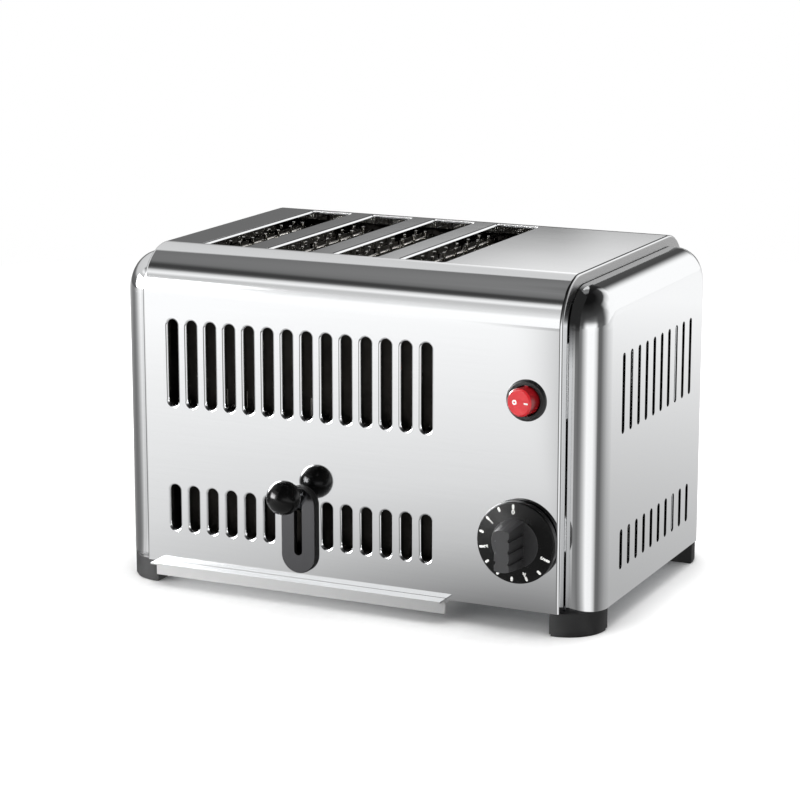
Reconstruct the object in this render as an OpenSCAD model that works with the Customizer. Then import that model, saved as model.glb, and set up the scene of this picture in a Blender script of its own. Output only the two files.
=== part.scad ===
// Four-slot counter toaster: polished wrap and end caps, eject lever, timer, rocker switch, crumb tray.
// Millimetres, +Z up, standing on z = 0, with the front toward -Y.

/* [Wrap] */
// Depth of the wrap from front to back
wrap_d = 223; // [219:1:235]
// Height of the wrap above its bottom edge
wrap_h = 210.4; // [206:0.2:222]
// Bend radius along the front and rear top edges
wrap_r = 31; // [28:0.5:34]
// Thickness of the polished sheet
sheet = 1; // [0.8:0.1:1.2]
// Bend radius of the wrap's rim beside each end cap
rim_r = 2; // [1.6:0.1:2.6]
// Depth to which the rim is folded inward
rim_fold = 16; // [13:0.5:19]

/* [End caps] */
// How far an end cap stands out beyond the wrap
cap_w = 22.4; // [21:0.2:27]
// Step back from the wrap's front to the cap's front
cap_step = 9.7; // [8:0.1:11]
// Step down from the wrap's top to the cap's top
cap_drop = 6.9; // [5:0.1:9]
// Bend radius of the cap's top corners in side view
cap_r = 25; // [22:0.5:28]
// Radius of the cap's rounded outer edge
cap_edge_r = 17.8; // [15:0.2:19]
// Shadow gap between the wrap's rim and the cap
cap_gap = 0.8; // [0.4:0.1:1]
// Width of the cap's welded-in bottom flange
cap_flange = 14; // [12:0.5:14.5]

/* [Base and feet] */
// Thickness of the base plate
base_t = 1.5; // [1.2:0.1:2]
// Gap between the base plate's edge and the caps' skirts round it
base_clear = 0.3; // [0.2:0.1:1]
// Height of the upstand along the base plate's front and rear edges
base_upstand = 9; // [6:0.5:12]
// Height of the feet
foot_h = 15.4; // [14.8:0.2:20]
// Width of a foot along X
foot_w = 28; // [27:0.5:30]
// Length of a foot along Y
foot_l = 28.8; // [27:0.2:30]
// Radius of a foot's outer corner
foot_r = 26; // [14:0.5:26.5]
// Distance from the cap's side to a foot's outer side
foot_inset = 1.4; // [1:0.1:6]
// Distance from the wrap's front to a foot's front side
foot_back = 1.8; // [1:0.1:4]
// Height of the narrower tread under a foot
tread_h = 1.5; // [1:0.1:3]
// How far the tread is set in
tread_inset = 0.8; // [0.4:0.1:1.5]
// Diameter of the foot and cap screws
screw_d = 4; // [3:0.1:5]
// Diameter of the screw heads
screw_head_d = 8; // [7:0.1:9]
// Thickness of the screw heads
screw_head_h = 2.6; // [2:0.1:3.2]
// Radial clearance round screws and fixed pins
screw_clear = 0.1; // [0.05:0.05:0.3]

/* [Vents] */
// Distance from the wrap's left end to the first front slot
vent_side = 22.2; // [20:0.2:26]
// Spacing of the vent slots in every row
vent_pitch = 14; // [13:0.5:14]
// Number of slots in a front row
vent_count = 14; // [10:1:14]
// Width of a front slot
vent_w = 7.2; // [5:0.2:8]
// Bottom of the upper row
vent_upper_z = 122.6; // [116:0.2:128]
// Length of the upper slots
vent_upper_l = 57.2; // [40:0.2:62]
// Bottom of the lower row
vent_lower_z = 38.6; // [34:0.2:42]
// Length of the lower slots
vent_lower_l = 30.2; // [24:0.2:36]
// Depth of the drawn collar behind each front slot
vent_collar = 3.5; // [2:0.5:6]
// Radius of the rolled edge round each front slot
vent_edge_r = 1.8; // [1:0.1:2]
// Number of slots in a side row
side_vent_count = 10; // [6:1:11]
// Width of a side slot
side_vent_w = 5; // [4:0.2:6]
// Bottom of the upper side row
side_vent_upper_z = 123; // [116:0.2:130]
// Length of the upper side slots
side_vent_upper_l = 51.8; // [40:0.2:56]
// Bottom of the lower side row
side_vent_lower_z = 34.9; // [34:0.2:42]
// Length of the lower side slots
side_vent_lower_l = 26.2; // [20:0.2:34]

/* [Bread slots] */
// Width of a bread slot
slot_w = 30; // [29:0.5:33]
// Length of a bread slot
slot_l = 157; // [150:1:158]
// Spacing of the bread slots
slot_pitch = 47.3; // [45:0.1:48]
// Corner radius of a bread slot
slot_r = 1.6; // [1.4:0.1:6]
// Depth of the turned-down lip round a bread slot
lip_h = 6; // [3:0.5:8]
// Radius of the rolled edge round a bread slot
slot_edge_r = 1.8; // [1:0.1:2.4]

/* [Toasting chamber] */
// Gap between the wrap's left end and the toasting chamber
end_gap = 10.9; // [8:0.1:16]
// Width of the control bay on the right of the toasting chamber
bay_w = 71; // [66:1:90]
// Distance from the wrap's front to the inner wall, and the same at the rear
wall_set = 17; // [15:0.5:18]
// Thickness of the inner walls
wall_t = 1; // [0.8:0.1:1.2]
// Height of the inner walls above the heater boards
wall_rise = 1; // [0.5:0.5:3]
// Distance from the outer heater boards to the left reflector
reflector_set = 8.5; // [6:0.5:9]
// Distance from the last heater board to the control partition
partition_set = 14.4; // [11:0.2:17]
// Thickness of a heater board
board_t = 1; // [0.6:0.1:1.5]
// Length of a heater board between its tabs
board_l = 150; // [140:1:154]
// Bottom edge of the heater boards
board_z = 84; // [82:0.5:90]
// Height of the heater boards
board_h = 132; // [126:1:134]
// Width of the notches in a board's top edge
notch_w = 5; // [3:0.5:8]
// Depth of the notches in a board's top edge
notch_h = 6; // [3:0.5:8]
// Spacing of the notches in a board's top edge
notch_pitch = 38; // [30:1:40]
// Height of a board's mounting tab
tab_h = 12; // [10:1:13]
// Bottom of the lower tab
tab_low_z = 121; // [120:0.5:123]
// Distance from the board's top edge down to the upper tab
tab_drop = 3; // [2:0.5:6]
// Clearance of a tab in its wall slot, all round
tab_clear = 0.15; // [0.1:0.05:0.3]
// Width of the heater ribbon
ribbon_w = 2; // [1:0.1:3]
// Thickness of the heater ribbon
ribbon_t = 0.3; // [0.2:0.05:0.5]
// Gap between the ribbon and its board
ribbon_clear = 0.25; // [0.2:0.05:0.3]
// Spacing of the ribbon's turns
ribbon_pitch = 8; // [6:0.5:9]
// Passes of ribbon below the lower tabs
ribbon_low_passes = 8; // [6:2:8]
// Passes of ribbon between the tabs
ribbon_high_passes = 16; // [10:2:16]
// Gap between the ribbon and a tab or the board's bottom edge
ribbon_margin = 3; // [2:0.2:3.4]

/* [Bread guards] */
// Diameter of the guard wire
wire_d = 2; // [1.6:0.1:2.4]
// Clear width between the two guards of a slot
guard_gap = 21; // [19:0.5:23]
// Number of upright wires in a guard
guard_wires = 7; // [5:1:9]
// Spacing of the upright wires
guard_pitch = 18.4; // [14:0.2:22]
// Bottom tips of the upright wires
guard_low_z = 88; // [86:0.5:92]
// Top tips of the upright wires
guard_high_z = 221; // [214:0.5:223]
// Height of the lower long wire
guard_rail_low_z = 122; // [120:0.5:126]
// Height of the upper long wire
guard_rail_high_z = 196; // [190:0.5:198]
// Distance from the upright wires' top tips down to the short top wire
guard_tip = 5; // [3:0.5:8]
// Share of the wire's diameter that is lost where two wires are welded
weld = 0.15; // [0.1:0.05:0.25]

/* [Bread lift] */
// Top of the bread rails at rest
rail_z = 84; // [82:0.5:90]
// Width of a bread rail's top strip
rail_w = 12; // [8:0.5:16]
// Thickness of the rails and crossbars
rail_t = 1.5; // [1.2:0.1:2]
// Height of a bread rail
rail_h = 12; // [8:0.5:13]
// Height of a crossbar
crossbar_h = 10; // [8:0.5:12]
// How far a crossbar reaches past the outer rails
crossbar_over = 8; // [6.5:0.5:12]
// Diameter of the guide rods
rod_d = 6; // [5:0.5:7]
// Running clearance of a bush on its rod
rod_clear = 0.08; // [0.05:0.01:0.1]
// Width and depth of a guide bush
bush_w = 10; // [9:0.5:11]
// Height of a guide bush
bush_h = 14; // [12:0.5:16]
// Gap between a bush and the inner wall
bush_gap = 0.6; // [0.4:0.1:1]
// Height of the shelf that holds the rods' tops
shelf_z = 124; // [122:0.5:128]
// Thickness of that shelf
shelf_t = 2; // [1.5:0.1:3]

/* [Eject lever] */
// Distance of the lever's pivot behind the wrap's front
pivot_back = 26; // [25:0.5:28]
// Height of the lever's pivot
pivot_z = 51; // [49:0.5:53]
// Rise of the lever at rest, in degrees
lever_rest = 27; // [25:0.5:28]
// Diameter of the lever's rod
lever_d = 5; // [4:0.1:5.2]
// Distance of the ball's centre in front of the wrap
ball_reach = 23; // [20:0.5:28]
// Diameter of the ball
ball_d = 22.2; // [18:0.2:24]
// Length of the rear arm from the pivot to the lift pin
lift_arm = 38; // [36:0.5:39]
// Diameter of the pivot pin
pivot_d = 6; // [5:0.5:6]
// Diameter of the lever's hub
hub_d = 14; // [12:0.5:15]
// Length of the lever's hub
hub_l = 15.6; // [14:0.2:18]
// Gap between the hub and a bracket cheek
hub_gap = 0.2; // [0.1:0.05:0.4]
// Thickness of the bracket
bracket_t = 1.5; // [1.2:0.1:2]
// Width of a bracket cheek
cheek_w = 15; // [13:0.5:15.5]
// Diameter of the lift pin
lift_d = 5; // [4:0.5:6]
// Length of the lift pin beyond each rail that it raises
lift_pin_end = 4; // [2:0.5:6]
// Wall of the lever's eye round the lift pin
lift_eye_t = 3; // [2:0.5:4]
// Length of the tab that hangs from a rail to the lift pin
lift_tab_l = 28; // [24:1:32]
// Play of the lift pin up and down in its slot
lift_play = 0.6; // [0.5:0.05:1]
// Running clearance of the pivot
pivot_clear = 0.05; // [0.03:0.01:0.1]
// Width of the lever plate
plate_w = 24.6; // [22:0.2:27]
// Height of the lever plate
plate_h = 57.8; // [56:0.2:60]
// Thickness of the lever plate
plate_t = 3.5; // [2.5:0.1:4.5]
// Rounding of the lever plate's front edge
plate_edge = 1; // [0.5:0.1:1.5]
// Height of the lever plate's centre
plate_z = 49.6; // [49:0.2:51]
// Clearance of the rod in the plate's slot, each side
lever_clear = 0.4; // [0.3:0.1:0.8]

/* [Rocker switch] */
// Distance from the wrap's right end to the centre of the switch
switch_side = 23; // [20:0.5:35]
// Height of the switch
switch_z = 150; // [140:0.5:160]
// Diameter of the bezel
bezel_d = 26.2; // [25:0.2:28]
// How far the bezel stands out
bezel_t = 2; // [1.5:0.1:2.5]
// Diameter of the rocker
rocker_d = 17.8; // [16:0.2:18]
// How far the rocker stands out
rocker_out = 9; // [4:0.2:10]
// Gap round the rocker
rocker_gap = 0.9; // [0.8:0.1:1.2]
// Wall of the switch's barrel
barrel_t = 1.6; // [1.4:0.1:2]
// Depth of the barrel behind the front sheet
barrel_l = 22; // [18:0.5:28]
// Tilt of the rocker at rest, in degrees
rocker_tilt = 11; // [8:0.5:11]
// Diameter of the rocker's pivot pins
trunnion_d = 3; // [2:0.2:4]
// Running clearance of the rocker's pivot pins
trunnion_clear = 0.06; // [0.03:0.01:0.1]

/* [Timer] */
// Distance from the wrap's right end to the timer's axis
timer_side = 27; // [27:0.5:36]
// Height of the timer's axis
timer_z = 60; // [56:0.5:66]
// Diameter of the dial's skirt
dial_d = 52.4; // [48:0.2:53]
// Gap between the dial and the wrap
dial_gap = 1.2; // [0.8:0.1:2]
// Distance of the skirt's front face from the wrap
skirt_out = 6; // [5:0.2:7]
// Rounding of the skirt's rim
skirt_edge = 1; // [0.5:0.1:1.5]
// Diameter of the dial's raised boss
boss_d = 34; // [30:0.5:36]
// Height of the dial's raised boss
boss_h = 1.6; // [1:0.1:3]
// Distance of the grip's front face from the wrap
grip_out = 28; // [22:0.5:30]
// Width of the grip's front face
grip_w = 10; // [8:0.2:12]
// Length of the grip's front face
grip_l = 27; // [22:0.5:29]
// Width of the grip where it meets the boss
grip_root_w = 12.4; // [11:0.2:16]
// Length of the grip where it meets the boss
grip_root_l = 32; // [28:0.5:33]
// Depth of the grooves in the grip's sides
groove_depth = 0.9; // [0.5:0.1:1.4]
// Width of the grooves in the grip's sides
groove_w = 2.4; // [1.5:0.1:3]
// Spacing of the grooves
groove_pitch = 7.5; // [5:0.5:8]
// Diameter of the timer's shaft
shaft_d = 6; // [5:0.5:7]
// Running clearance of the shaft in the timer's nose
shaft_clear = 0.05; // [0.03:0.01:0.1]
// Diameter of the timer's nose
nose_d = 10; // [9:0.5:12]
// Diameter of the timer's case
timer_d = 44; // [38:0.5:46]
// Depth of the timer's case
timer_l = 30; // [24:0.5:36]
// Width of the timer's mounting plate
timer_plate_w = 48; // [46:0.5:49]
// Thickness of the timer's mounting plate
timer_plate_t = 1.5; // [1:0.1:2]
// Distance of the timer's screws from its axis
timer_screw_r = 15; // [12:0.5:16]

/* [Crumb tray] */
// Width of the tray's front plate
tray_w = 210.4; // [206:0.2:214]
// Gap between the tray's front plate and the left front foot
tray_foot_gap = 0.8; // [0.5:0.1:3]
// Bottom of the tray
tray_z = 6.2; // [5.4:0.1:6.6]
// Top of the tray's front plate and finger pull
pull_z = 16.3; // [16:0.1:18]
// How far the finger pull reaches forward
pull_reach = 9.5; // [6:0.5:14]
// Gap between the tray's front plate and the wrap
tray_gap = 0.4; // [0.3:0.05:0.6]
// How far the pan is set in from the ends of the front plate
pan_inset = 9; // [8.5:0.5:10]
// Height of the pan's walls
pan_h = 6.6; // [5.6:0.1:7]
// Width of the pan's outward lips
pan_lip = 4; // [3:0.2:5]
// Length of the pan behind the wrap's front
pan_l = 198; // [180:1:205]
// Thickness of the tray's sheet
tray_t = 1; // [0.8:0.1:1.2]
// Gap between the pan's lip and the runner under it
runner_gap = 0.1; // [0.05:0.05:0.2]
// Side clearance of the pan between its runners
runner_side = 0.5; // [0.4:0.1:0.8]
// Thickness of a runner
runner_t = 1.2; // [1:0.1:1.4]
// Width of a runner's flange under the base plate
runner_flange = 7; // [6:0.5:8]
// Gap between a runner's ends and the feet
runner_foot_gap = 1; // [0.5:0.1:4]

/* [Supply] */
// Distance from the wrap's right end to the cable gland's axis
gland_side = 31; // [26:0.5:40]
// Height of the cable gland
gland_z = 46; // [40:0.5:60]
// Diameter of the gland's neck
gland_d = 16; // [14:0.2:18]
// Bore of the gland
gland_bore = 8; // [6:0.2:10]
// How far the gland stands out of the back
gland_reach = 14; // [10:0.5:18]
// Width of the gland's collar beyond its neck
gland_collar = 3; // [2:0.2:5]
// Thickness of the gland's nut
gland_nut_t = 5; // [4:0.5:6]
// Length of the terminal block
terminal_l = 40; // [30:1:44]
// Width of the terminal block
terminal_w = 16; // [12:1:20]
// Height of the terminal block
terminal_h = 18; // [14:1:24]
// Distance from the toasting chamber to the terminal block
terminal_side = 14; // [6:1:24]
// Distance from the rear of the wrap to the terminal block
terminal_back = 44; // [30:1:80]
// Diameter of the terminal block's wire holes
terminal_hole_d = 5; // [4:0.2:6]
// Depth of the terminal block's wire holes
terminal_hole_l = 6; // [4:0.5:10]

/* [Hidden] */
$fn = 64;
eps = 0.01;

polished = "#d9dadb";
plated = "#a9acae";
black = "#1b1c1d";
plate_grey = "#55575a";
red = "#c81e1e";
mica = "#6f6a60";
heater_alloy = "#8a8078";
ceramic = "#e4e0d6";

// The origin is at the middle of everything that stands on the counter, ball and gland included
chamber_w = wall_t + reflector_set + 4 * slot_pitch + partition_set;
wrap_w = end_gap + chamber_w + bay_w;
front_y = (ball_reach + ball_d / 2 - wrap_d - gland_reach) / 2;
body_z = foot_h;
floor_z = body_z + base_t;
top_z = body_z + wrap_h;
mid_y = wrap_d / 2;
cap_d = wrap_d - 2 * cap_step;
cap_h = wrap_h - cap_drop;
foot_x = wrap_w / 2 + cap_w - foot_inset - foot_w / 2;
foot_y = foot_back + foot_l / 2;
wall_in = wall_set + wall_t;
chamber_x0 = end_gap - wrap_w / 2;
chamber_x1 = chamber_x0 + chamber_w;
slot_mid_x = chamber_x0 + wall_t + reflector_set + 2 * slot_pitch;
vent_first_x = vent_side - wrap_w / 2;
switch_x = wrap_w / 2 - switch_side;
timer_x = wrap_w / 2 - timer_side;
gland_x = wrap_w / 2 - gland_side;
tab_high_z = board_z + board_h - tab_drop - tab_h;
wall_top = board_z + board_h + wall_rise;
upright_x = guard_gap / 2 + wire_d / 2;
long_wire_x = upright_x + wire_d * (1 - weld);
rod_y = wall_in + bush_gap + bush_w / 2;
crossbar_y = wall_in + bush_gap + bush_w;
rod_top = shelf_z + shelf_t;
lever_x = slot_mid_x;
lever_len = (pivot_back + ball_reach) / cos(lever_rest);
lever_slot_w = lever_d + 2 * lever_clear;
lever_slot_half = (pivot_back + plate_t) * tan(lever_rest) + lever_d / 2 / cos(lever_rest) + lever_clear;
lift_y = pivot_back + lift_arm * cos(lever_rest);
lift_z = pivot_z - lift_arm * sin(lever_rest);
cheek_x = hub_l / 2 + hub_gap;
barrel_d = rocker_d + 2 * rocker_gap + 2 * barrel_t;
tray_x0 = foot_w / 2 + tray_foot_gap - foot_x;
tray_x = tray_x0 + tray_w / 2;
pan_w = tray_w - 2 * pan_inset;
pan_top = tray_z + pan_h;

function slot_x(i) = slot_mid_x + (i - 2.5) * slot_pitch;
function board_x(i) = slot_mid_x + (i - 3) * slot_pitch;

// Shared shapes

// Puts a shape that is drawn from the wrap's front into the part's frame
module from_front() translate([0, front_y, 0]) children();

// Copies a shape to the rear, mirrored about the middle of the depth
module at_rear() translate([0, wrap_d, 0]) mirror([0, 1, 0]) children();

// Extrudes an outline drawn in Y and Z along X
module along_x(len) rotate([90, 0, 90]) linear_extrude(height = len) children();

// Extrudes an outline drawn in X and Z along Y
module along_y(len) translate([0, len, 0]) rotate([90, 0, 0]) linear_extrude(height = len) children();

// Turns a profile drawn as radius and distance in front of the wrap about the Y axis
module turned() rotate([90, 0, 0]) rotate_extrude() children();

module oblong(w, l) {
    square([w, l - w], center = true);
    for (s = [-1, 1]) translate([0, s * (l - w) / 2]) circle(d = w);
}

module rounded(w, l, r) {
    square([w - 2 * r, l], center = true);
    square([w, l - 2 * r], center = true);
    for (x = [-1, 1], y = [-1, 1]) translate([x * (w / 2 - r), y * (l / 2 - r)]) circle(r);
}

// What a rolled edge of radius r takes off beside an opening.
// In it x runs away from the opening and y out of the sheet.
// The roll meets the sheet and the opening's wall at a slight angle, so it keeps a visible outline.
roll_angle = 10;

module roll_cut(r) {
    a = r * cos(roll_angle);
    difference() {
        translate([-r / 2, -a]) square(a + r / 2);
        translate([a, -a]) circle(r);
    }
}

// Rolled edge round an oblong opening in X and Z, in a sheet whose outer face is y = 0
module oblong_roll(w, l, r) {
    for (s = [0, 1]) mirror([0, 0, s]) translate([0, 0, (l - w) / 2])
        rotate([90, 0, 0]) rotate_extrude(angle = 180) translate([w / 2, 0]) roll_cut(r);
    for (s = [0, 1]) mirror([s, 0, 0]) translate([w / 2, 0, (w - l) / 2])
        linear_extrude(height = l - w) mirror([0, 1]) roll_cut(r);
}

// Rolled edge round a rounded rectangle in X and Y, in a sheet whose outer face is z = 0
module rounded_roll(w, l, corner, r) {
    for (x = [0, 1], y = [0, 1]) mirror([x, 0, 0]) mirror([0, y, 0])
        translate([w / 2 - corner, l / 2 - corner, 0])
            rotate_extrude(angle = 90) translate([corner, 0]) roll_cut(r);
    for (s = [0, 1]) {
        mirror([s, 0, 0]) translate([w / 2, l / 2 - corner, 0]) rotate([90, 0, 0])
            linear_extrude(height = l - 2 * corner) roll_cut(r);
        mirror([0, s, 0]) translate([w / 2 - corner, l / 2, 0]) rotate([90, 0, 0]) rotate([0, -90, 0])
            linear_extrude(height = w - 2 * corner) roll_cut(r);
    }
}

// Outline of depth d and height h with both top corners rounded
module arch(d, h, r) {
    square([d, h - r]);
    translate([r, 0]) square([d - 2 * r, h]);
    for (y = [r, d - r]) translate([y, h - r]) circle(r);
}

// Sweeps a section round that outline: section x is the depth below the outer skin, section y is along X
module around_arch(d, h, r) {
    mirror([1, -1, 0]) linear_extrude(height = h - r) children();
    translate([0, d, 0]) mirror([0, 1, 0]) mirror([1, -1, 0]) linear_extrude(height = h - r) children();
    for (rear = [0, 1])
        translate([0, rear * d, 0]) mirror([0, rear, 0])
            translate([0, r, h - r]) rotate([90, 0, 90]) rotate([0, 0, 90])
                rotate_extrude(angle = 90) translate([r, 0]) mirror([1, 0]) children();
    translate([0, r, h]) rotate([-90, 0, 0]) rotate([0, 0, 90])
        linear_extrude(height = d - 2 * r) mirror([0, 1]) children();
}

// Quarter of a ring with its centre at the origin, in the quadrant of -x and +y
module quarter_ring(r, t) {
    intersection() {
        difference() {
            circle(r);
            circle(r - t);
        }
        translate([-r, 0]) square(r);
    }
}

// Wrap and caps

module wrap_section() {
    half = wrap_w / 2;
    translate([0, rim_r - half]) square([sheet, wrap_w - 2 * rim_r]);
    for (s = [0, 1]) mirror([0, s]) {
        translate([rim_r, half - rim_r]) quarter_ring(rim_r, sheet);
        translate([rim_r, half - sheet]) square([rim_fold - rim_r, sheet]);
    }
}

// Centres of the vent openings in a row, without those that the lever plate covers if skip is set
function vent_xs(skip) = [for (i = [0 : vent_count - 1])
    let (x = vent_first_x + i * vent_pitch)
    if (!skip || abs(x - lever_x) > (plate_w + vent_w) / 2 + vent_edge_r) x];

module vent_rows(grow, skip) {
    for (x = vent_xs(false)) translate([x, vent_upper_z + vent_upper_l / 2])
        oblong(vent_w + 2 * grow, vent_upper_l + 2 * grow);
    for (x = vent_xs(skip)) translate([x, vent_lower_z + vent_lower_l / 2])
        oblong(vent_w + 2 * grow, vent_lower_l + 2 * grow);
}

module vent_rolls(skip) {
    for (x = vent_xs(false)) translate([x, 0, vent_upper_z + vent_upper_l / 2])
        oblong_roll(vent_w, vent_upper_l, vent_edge_r);
    for (x = vent_xs(skip)) translate([x, 0, vent_lower_z + vent_lower_l / 2])
        oblong_roll(vent_w, vent_lower_l, vent_edge_r);
}

module bread_slots(grow) {
    for (i = [1 : 4])
        translate([slot_x(i), mid_y]) rounded(slot_w + 2 * grow, slot_l + 2 * grow, slot_r + grow);
}

// Outline of the base plate, which fills the wrap and the caps' skirts
module base_outline() {
    inset = sheet + base_clear;
    translate([rim_r - wrap_w / 2, sheet]) square([wrap_w - 2 * rim_r, wrap_d - 2 * sheet]);
    translate([0, mid_y])
        rounded(wrap_w + 2 * (cap_w - inset), cap_d - 2 * inset, cap_edge_r - inset);
}

module outer_wrap() {
    collar = sheet + vent_collar;
    color(polished) from_front() difference() {
        union() {
            translate([0, 0, body_z]) around_arch(wrap_d, wrap_h, wrap_r) wrap_section();
            along_y(collar) vent_rows(sheet, true);
            at_rear() along_y(collar) vent_rows(sheet, false);
            translate([0, 0, top_z - lip_h]) linear_extrude(height = lip_h) bread_slots(sheet);
        }
        translate([0, -eps, 0]) along_y(collar + 2 * eps) vent_rows(0, true);
        at_rear() translate([0, -eps, 0]) along_y(collar + 2 * eps) vent_rows(0, false);
        vent_rolls(true);
        at_rear() vent_rolls(false);
        translate([0, 0, top_z - lip_h - eps]) linear_extrude(height = lip_h + 2 * eps) bread_slots(0);
        for (i = [1 : 4])
            translate([slot_x(i), mid_y, top_z]) rounded_roll(slot_w, slot_l, slot_r, slot_edge_r);
        translate([0, 0, body_z - eps]) linear_extrude(height = base_t + eps) base_outline();
        translate([lever_x, -eps, pivot_z])
            along_y(sheet + 2 * eps) oblong(lever_slot_w, 2 * lever_slot_half);
        translate([switch_x, -eps, switch_z]) along_y(sheet + 2 * eps) circle(d = barrel_d + 2 * screw_clear);
        translate([timer_x, -eps, timer_z]) along_y(sheet + 2 * eps) {
            circle(d = nose_d + 2 * screw_clear);
            for (s = [-1, 1]) translate([s * timer_screw_r, 0]) circle(d = screw_d + 2 * screw_clear);
        }
        at_rear() translate([gland_x, -eps, gland_z]) along_y(sheet + 2 * eps)
            circle(d = gland_d + 2 * screw_clear);
    }
}

// Plan of a cap, set in on its three outer sides
module cap_plan(inset) {
    r = cap_edge_r - inset;
    translate([cap_gap, inset]) square([cap_w - cap_edge_r - cap_gap, cap_d - 2 * inset]);
    translate([cap_w - cap_edge_r, cap_edge_r]) square([r, cap_d - 2 * cap_edge_r]);
    intersection() {
        for (y = [cap_edge_r, cap_d - cap_edge_r]) translate([cap_w - cap_edge_r, y]) circle(r);
        translate([cap_w - cap_edge_r, 0]) square([cap_edge_r, cap_d]);
    }
}

module cap_section() {
    translate([0, cap_gap]) square([sheet, cap_w - cap_edge_r - cap_gap]);
    translate([cap_edge_r, cap_w - cap_edge_r]) quarter_ring(cap_edge_r, sheet);
}

module side_vents() {
    first = mid_y - (side_vent_count - 1) / 2 * vent_pitch;
    for (i = [0 : side_vent_count - 1]) {
        y = first + i * vent_pitch;
        translate([y, side_vent_upper_z + side_vent_upper_l / 2]) oblong(side_vent_w, side_vent_upper_l);
        translate([y, side_vent_lower_z + side_vent_lower_l / 2]) oblong(side_vent_w, side_vent_lower_l);
    }
}

cap_screw_x = cap_w - cap_flange / 2;
cap_screw_y = [cap_d / 4, cap_d * 3 / 4];

// Cap with a welded flange that stands on the base plate; its wall goes on below as a skirt
module end_cap() {
    color(polished) from_front() difference() {
        translate([wrap_w / 2, cap_step, body_z]) {
            around_arch(cap_d, cap_h, cap_r) cap_section();
            translate([cap_w - sheet, cap_edge_r, 0]) along_x(sheet)
                arch(cap_d - 2 * cap_edge_r, cap_h - cap_edge_r, cap_r - cap_edge_r);
            translate([0, 0, base_t]) difference() {
                linear_extrude(height = sheet) cap_plan(sheet / 2);
                translate([0, 0, -eps]) linear_extrude(height = sheet + 2 * eps) cap_plan(cap_flange);
            }
        }
        translate([wrap_w / 2 + cap_w - sheet - eps, 0, 0]) along_x(sheet + 2 * eps) side_vents();
        translate([wrap_w / 2, cap_step, 0]) cap_screw_holes(floor_z - eps, sheet + 2 * eps);
        foot_screw_holes(floor_z - eps, sheet + 2 * eps);
    }
}

module cap_screw_holes(z, h) {
    for (y = cap_screw_y) translate([cap_screw_x, y, z]) cylinder(d = screw_d + 2 * screw_clear, h = h);
}

// The foot screws pass through the base plate and the cap's flange
module foot_screw_holes(z, h) {
    for (y = [foot_y, wrap_d - foot_y])
        translate([foot_x, y, z]) cylinder(d = screw_d + 2 * screw_clear, h = h);
}

module left_end_cap() mirror([1, 0, 0]) end_cap();

module right_end_cap() end_cap();

// Base, feet and fasteners

crumb_x0 = board_x(1);
crumb_x1 = board_x(5) - 2;
crumb_y = pivot_back + cheek_w / 2 + 4;

module base_plate() {
    color(plated) from_front() difference() {
        union() {
            translate([0, 0, body_z]) linear_extrude(height = base_t) base_outline();
            for (y = [sheet, wrap_d - sheet - base_t])
                translate([chamber_x0, y, body_z])
                    cube([chamber_x1 - chamber_x0, base_t, base_t + base_upstand]);
        }
        translate([crumb_x0, crumb_y, body_z - eps])
            cube([crumb_x1 - crumb_x0, wrap_d - 2 * crumb_y, base_t + 2 * eps]);
        for (s = [0, 1]) mirror([s, 0, 0]) {
            foot_screw_holes(body_z - eps, base_t + 2 * eps);
            translate([wrap_w / 2, cap_step, 0]) cap_screw_holes(body_z - eps, base_t + 2 * eps);
        }
    }
}

// Plan of a foot with its large outer corner toward +X and -Y
module foot_plan(inset) {
    w = foot_w / 2 - inset;
    l = foot_l / 2 - inset;
    r = foot_r - inset;
    translate([-w, -l]) square([2 * w - r, 2 * l]);
    translate([-w, r - l]) square([2 * w, 2 * l - r]);
    intersection() {
        translate([w - r, r - l]) circle(r);
        translate([w - r, -l]) square(r);
    }
}

module foot() {
    color(black) translate([foot_x, foot_y, 0]) difference() {
        union() {
            linear_extrude(height = foot_h) foot_plan(tread_inset);
            translate([0, 0, tread_h]) linear_extrude(height = foot_h - tread_h) foot_plan(0);
        }
        translate([0, 0, -eps]) cylinder(d = screw_d + 2 * screw_clear, h = foot_h + 2 * eps);
        translate([0, 0, -eps]) cylinder(d = screw_head_d + 2 * screw_clear, h = foot_h / 2 + eps);
    }
}

module foot_front_right() from_front() foot();

module foot_front_left() mirror([1, 0, 0]) foot_front_right();

module foot_rear_right() from_front() at_rear() foot();

module foot_rear_left() mirror([1, 0, 0]) foot_rear_right();

// Screw with its head down at z = 0 and a shank of length l above the head
module screw(l) {
    difference() {
        translate([0, 0, -screw_head_h]) cylinder(d = screw_head_d, h = screw_head_h);
        translate([0, 0, -screw_head_h - eps]) cylinder(d = screw_d, h = screw_head_h / 2, $fn = 6);
    }
    cylinder(d = screw_d, h = l);
}

module foot_screws() {
    color(plated) from_front() for (x = [-1, 1], y = [foot_y, wrap_d - foot_y])
        translate([x * foot_x, y, foot_h / 2]) screw(foot_h / 2 + base_t + screw_d);
}

module cap_screws() {
    color(plated) from_front() for (s = [0, 1], y = cap_screw_y)
        mirror([s, 0, 0]) translate([wrap_w / 2 + cap_screw_x, cap_step + y, body_z])
            screw(base_t + sheet + screw_d);
}

// Toasting chamber

// Cut-outs that a wall needs for the boards' tabs and the guards' long wires
module wall_holes() {
    for (i = [1 : 5], z = [tab_low_z, tab_high_z])
        translate([board_x(i) - board_t / 2 - tab_clear, z - tab_clear])
            square([board_t + 2 * tab_clear, tab_h + 2 * tab_clear]);
    for (i = [1 : 4], s = [-1, 1], z = [guard_rail_low_z, guard_rail_high_z])
        translate([slot_x(i) + s * long_wire_x, z]) circle(d = wire_d + 2 * screw_clear);
}

rod_x = [slot_x(1), slot_x(4)];

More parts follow.
